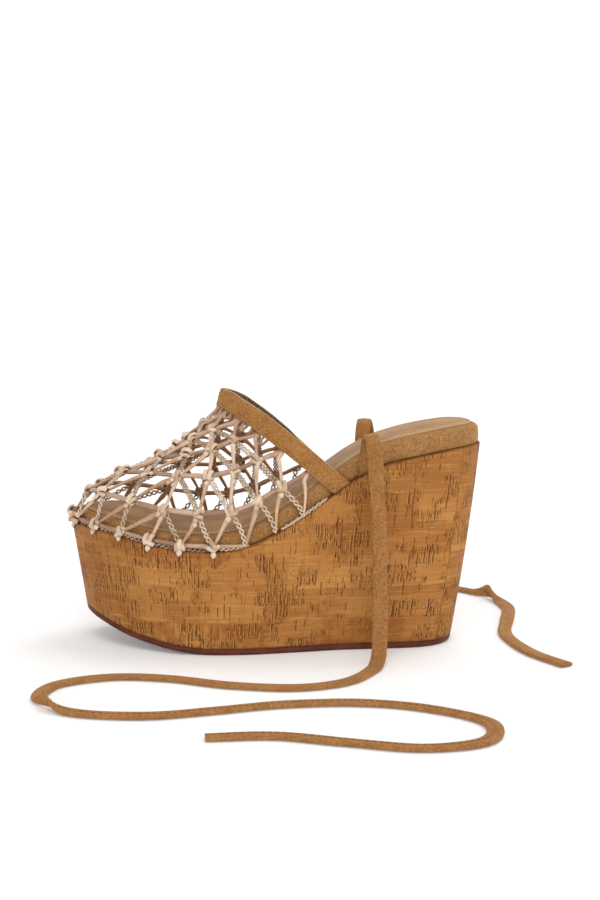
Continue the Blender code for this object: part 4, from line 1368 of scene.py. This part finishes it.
def band_profile(width, thickness):
    """Section of the band from its front edge: folded bead, stitch groove, crowned face, rolled back edge."""
    half = width / 2
    top = thickness / 2
    low = -thickness / 2 + LINING_THICKNESS
    points = [(-half + 0.0003, low), (-half, 0.2 * top), (-half + 0.0002, 0.85 * top),
              (-half + 0.0006, top + 0.00022), (-half + 0.0011, top + 0.00026),
              (-half + FOLD_WIDTH, top - 0.00005), (-half + FOLD_WIDTH + 0.0005, top - 0.00003)]
    start = -half + FOLD_WIDTH + 0.0011
    end = half - 0.0012
    for k in range(BAND_PROFILE_STEPS + 1):
        share = k / BAND_PROFILE_STEPS
        points.append((start + (end - start) * share, top + 0.00028 * sin(pi * share)))
    return points + [(half - 0.0006, top - 0.00008), (half - 0.0001, 0.4 * top), (half - 0.0002, low)]


def band_stations(count):
    """Frames at even places along the band."""
    return [band_frame(-1 + 2 * k / count) for k in range(count + 1)]


def band_strip(profile, piece):
    """A section swept along the band, with both ends drawn down on to the cork."""
    rings = []
    for number, (edge, way, lean, face) in enumerate(band_stations(BAND_STEPS)):
        middle = edge + lean * BAND_WIDTH / 2
        ring = []
        for across, out in profile:
            point = middle + lean * across + face * out
            point += roughen(point, 0.012, BAND_UNEVEN)
            if number in (0, BAND_STEPS):
                down = -way if number == 0 else way
                for _ in range(12):
                    point = point + down * ((point.z - cork_top(point.x) - GAP) / -down.z)
            ring.append(piece.point(point))
        rings.append(ring)
    piece.strip(rings)


def band_line(count, skipped, across, out):
    """Line along the band, some way across from its front edge and out of its middle, with outward sides."""
    line = []
    faces = []
    for edge, _, lean, face in band_stations(count)[skipped:-skipped]:
        place = edge + lean * across + face * out
        line.append(place + roughen(place, 0.012, BAND_UNEVEN))
        faces.append(face)
    return line, faces


def make_band():
    """Suede band with its lining, the raw edges between them and the stitches of its fold."""
    suede = Piece()
    band_strip(band_profile(BAND_WIDTH, BAND_THICKNESS), suede)
    finish = suede_finish("band_suede", srgb(174, 124, 70), srgb(143, 96, 50), nap=0.00008)
    suede.make("instep_band_suede", finish, "instep_band")

    half = BAND_WIDTH / 2 - 0.0005
    bottom = -BAND_THICKNESS / 2
    top = bottom + LINING_THICKNESS - 0.00005
    lining = Piece()
    band_strip([(-half, bottom + 0.0002), (-half, top), (half, top), (half, bottom + 0.0002),
                (half - 0.0002, bottom), (-half + 0.0002, bottom)], lining)
    finish = suede_finish("lining_textile", srgb(116, 92, 78), srgb(78, 58, 48), nap=0.00006, sheen=0.1)
    lining.make("instep_band_lining", finish)

    raw_edge = Piece()
    for across in (BAND_WIDTH - 0.0004, 0.0004):
        raw_edge.tube(*band_line(BAND_STEPS, 3, across, bottom + 0.0006), 0.00032, sides=6)
    finish = thread_finish("raw_edge", srgb(214, 190, 154), srgb(236, 218, 188))
    raw_edge.make("instep_band_raw_edge", finish)

    stitches = Piece()
    line, faces = band_line(400, 4, FOLD_WIDTH + 0.0003, BAND_THICKNESS / 2 - 0.00005)
    add_stitches(stitches, line, faces, 0.0026, 0.0013, 0.00017)
    finish = thread_finish("band_thread", srgb(96, 62, 32), srgb(126, 84, 46))
    stitches.make("instep_band_stitches", finish)


# Ankle ties

TIE_STEP = 0.0022
FLIP_LENGTH = 0.040


def tie_profile():
    """Section of a tie: a folded strip, crowned on its plain face, its two edges meeting in a centre seam."""
    half = TIE_WIDTH / 2
    thick = TIE_THICKNESS / 2
    rim = thick * 0.92
    points = []
    for k in range(9):
        share = -1 + 2 * k / 8
        points.append((share * (half - rim), thick + 0.00022 * (1 - share * share) - 0.00010))
    points += [(half - 0.30 * rim, 0.72 * thick), (half, 0.10 * thick), (half - 0.25 * rim, -0.72 * thick)]
    for across in (0.62, 0.34, 0.13):
        points.append((across * half, -thick - 0.00008))
    points += [(0.04 * half, -thick + 0.00006), (0.0, -thick + TIE_SEAM_DEPTH),
               (-0.04 * half, -thick + 0.00006)]
    for across in (0.13, 0.34, 0.62):
        points.append((-across * half, -thick - 0.00008))
    points += [(-half + 0.25 * rim, -0.72 * thick), (-half, 0.10 * thick), (-half + 0.30 * rim, 0.72 * thick)]
    return points


def tie_path(route, side, flips):
    """Places and frames along a tie. At each flip, a distance along it, it turns over once."""
    points = smooth_line([Vector(point) for point in route], 12)
    total = line_length(points)
    count = int(total / TIE_STEP)
    line = [point_at(points, total * k / count) or points[-1] for k in range(count + 1)]
    hanging = Vector((-side, 0.0, 0.0))
    path = []
    frames = []
    for k, place in enumerate(line):
        way = (line[min(k + 1, count)] - line[max(k - 1, 0)]).normalized()
        across = Vector((-way.y, way.x, 0.0)) + (1 - hypot(way.x, way.y)) * hanging
        across = (across - way * across.dot(way)).normalized()
        face = way.cross(across)
        if face.z < -0.2:
            face = -face
            across = -across
        turned = 0.0
        for flip in flips:
            share = min(1.0, max(0.0, (total * k / count - flip) / FLIP_LENGTH + 0.5))
            turned += pi * share * share * (3 - 2 * share)
        lift = abs(sin(turned)) * (TIE_WIDTH / 2 - TIE_THICKNESS / 2 + 0.0004)
        rolled = across * cos(turned) + face * sin(turned)
        face = face * cos(turned) - across * sin(turned)
        wave = 0.0002 * sin(k * 0.21) + 0.00015 * sin(k * 0.083 + 1.0)
        clearance = TIE_CLEARANCE * min(1.0, k / 40)
        path.append(place + Vector((0, 0, lift + clearance)) + rolled * wave)
        frames.append((rolled, face))
    return path, frames


def make_tie(name, node, route, side, flips):
    """Flat strap along its route, with the stitches beside its centre seam."""
    path, frames = tie_path(route, side, flips)
    body = Piece()
    rings = []
    for number, (place, (across, face)) in enumerate(zip(path, frames)):
        ring = []
        narrow = 1.0 + 0.03 * sin(number * 0.13) + 0.02 * sin(number * 0.37)
        for shift, out in tie_profile():
            point = place + across * shift * narrow + face * out
            if number == 0:
                point.z = cork_top(point.x) + GAP
            ring.append(body.point(point))
        rings.append(ring)
    body.strip(rings)
    finish = suede_finish(name + "_nap", srgb(172, 122, 72), srgb(142, 95, 52), nap=0.00009)
    item = body.make(name, finish, node)

    stitches = Piece()
    seam_line = [place + across * 0.0010 - face * (TIE_THICKNESS / 2 + 0.00004)
                 for place, (across, face) in zip(path, frames)]
    add_stitches(stitches, seam_line, [-face for _, face in frames], 0.0034, 0.0022, 0.00018, first=1)
    finish = thread_finish(name + "_thread", srgb(84, 54, 26), srgb(112, 74, 40))
    sewn = stitches.make(name + "_stitches", finish)


# Stage

FLOOR_GLOW = 0.15
BACK_GLOW = 0.46
FRONT_GLOW = 0.06
SWEEP_RADIUS = 4.2
SWEEP_BEND = 1.4
SWEEP_HEIGHT = 3.2


def area_light(name, place, target, size, power, tint=(1.0, 1.0, 1.0)):
    light = bpy.data.lights.new(name, "AREA")
    light.shape = "RECTANGLE"
    light.size, light.size_y = size
    light.energy = power
    light.color = tint
    item = bpy.data.objects.new(name, light)
    item.location = place
    item.rotation_euler = (Vector(target) - Vector(place)).to_track_quat("-Z", "Y").to_euler()
    bpy.context.scene.collection.objects.link(item)


def paper_finish():
    """White paper that glows a little, more so far from the shoe and most behind it."""
    paper = Finish("studio_paper", roughness=0.9, specular=0.1)
    place = paper.place()
    outer = paper.smooth(paper.vector("LENGTH", place), 0.45, 2.2)
    behind = paper.smooth(paper.split(place)[1], -0.2, 1.4)
    behind = paper.math("MULTIPLY_ADD", behind, BACK_GLOW - FRONT_GLOW, FRONT_GLOW)
    glow = paper.math("MULTIPLY_ADD", outer, behind, FLOOR_GLOW)
    paper.set(paper.shader.inputs["Emission Color"], (1.0, 1.0, 1.0, 1.0))
    paper.set(paper.shader.inputs["Emission Strength"], glow)
    return paper.use(paper.mix(paper.noise(place, 60.0), (0.86, 0.86, 0.86, 1.0), (0.88, 0.88, 0.88, 1.0)))


def make_stage():
    """White floor that curves up into a wall all round, soft lights and an even white surround."""
    steps = 96
    section = [(0.5, 0.0), (1.2, 0.0), (2.0, 0.0)]
    for k in range(13):
        angle = pi / 2 * k / 12
        section.append((SWEEP_RADIUS - SWEEP_BEND * (1 - sin(angle)), SWEEP_BEND * (1 - cos(angle))))
    section.append((SWEEP_RADIUS, SWEEP_HEIGHT))
    turns = ring_turns(steps, start=0.0)
    points = [Vector((radius * cos(turn), radius * sin(turn), height))
              for radius, height in section for turn in turns]
    points.append(Vector((0.0, 0.0, 0.0)))
    faces = [(k, (k + 1) % steps, len(points) - 1) for k in range(steps)]
    for low in range(0, steps * (len(section) - 1), steps):
        faces += [(low + k, low + steps + k, low + steps + (k + 1) % steps, low + (k + 1) % steps)
                  for k in range(steps)]
    mesh = bpy.data.meshes.new("studio_sweep")
    mesh.from_pydata(points, [], faces)
    mesh.shade_smooth()
    mesh.materials.append(paper_finish())
    sweep = bpy.data.objects.new("studio_sweep", mesh)
    bpy.context.scene.collection.objects.link(sweep)

    area_light("key", (-0.1, -1.4, 1.9), (0.0, 0.0, 0.05), (1.3, 1.3), 15.8, (1.0, 0.985, 0.96))
    area_light("front_fill", (1.1, -2.1, 0.9), (0.0, 0.0, 0.06), (1.6, 1.2), 8.5)
    area_light("top", (0.6, 0.6, 2.1), (0.0, 0.0, 0.05), (1.2, 1.2), 15.8)
    world = bpy.data.worlds.new("studio")
    world.use_nodes = True
    background = world.node_tree.nodes["Background"]
    background.inputs["Color"].default_value = (1.0, 1.0, 1.0, 1.0)
    background.inputs["Strength"].default_value = 0.34
    bpy.context.scene.world = world
    bpy.context.scene.view_settings.view_transform = "Standard"


def make_camera():
    camera = bpy.data.cameras.new("photo_camera")
    camera.sensor_width = SENSOR
    camera.lens = FOCAL_PIXELS / FRAME_HEIGHT * SENSOR
    camera.clip_start = 0.01
    item = bpy.data.objects.new("photo_camera", camera)
    item.location = CAMERA_PLACE
    drop = atan(CAMERA_DROP / -CAMERA_PLACE[1])
    item.rotation_euler = (pi / 2 - drop, 0.0, 0.0)
    bpy.context.scene.collection.objects.link(item)
    bpy.context.scene.camera = item


def main():
    noise.seed_set(SEED)
    make_camera()
    make_tie("tie_outer_strap", "tie_outer", OUTER_TIE_ROUTE, -1, (0.40,))
    make_tie("tie_inner_strap", "tie_inner", INNER_TIE_ROUTE, 1, (0.33, 0.62))
    make_outsole()
    make_wedge()
    make_footbed()
    make_insole()
    random = Random(SEED)
    lattice_parts = net_lattice()
    make_net_cords(lattice_parts, random)
    make_net_knots(lattice_parts, random)
    lattice_parts[0].free()
    make_band()
    make_stage()


main()
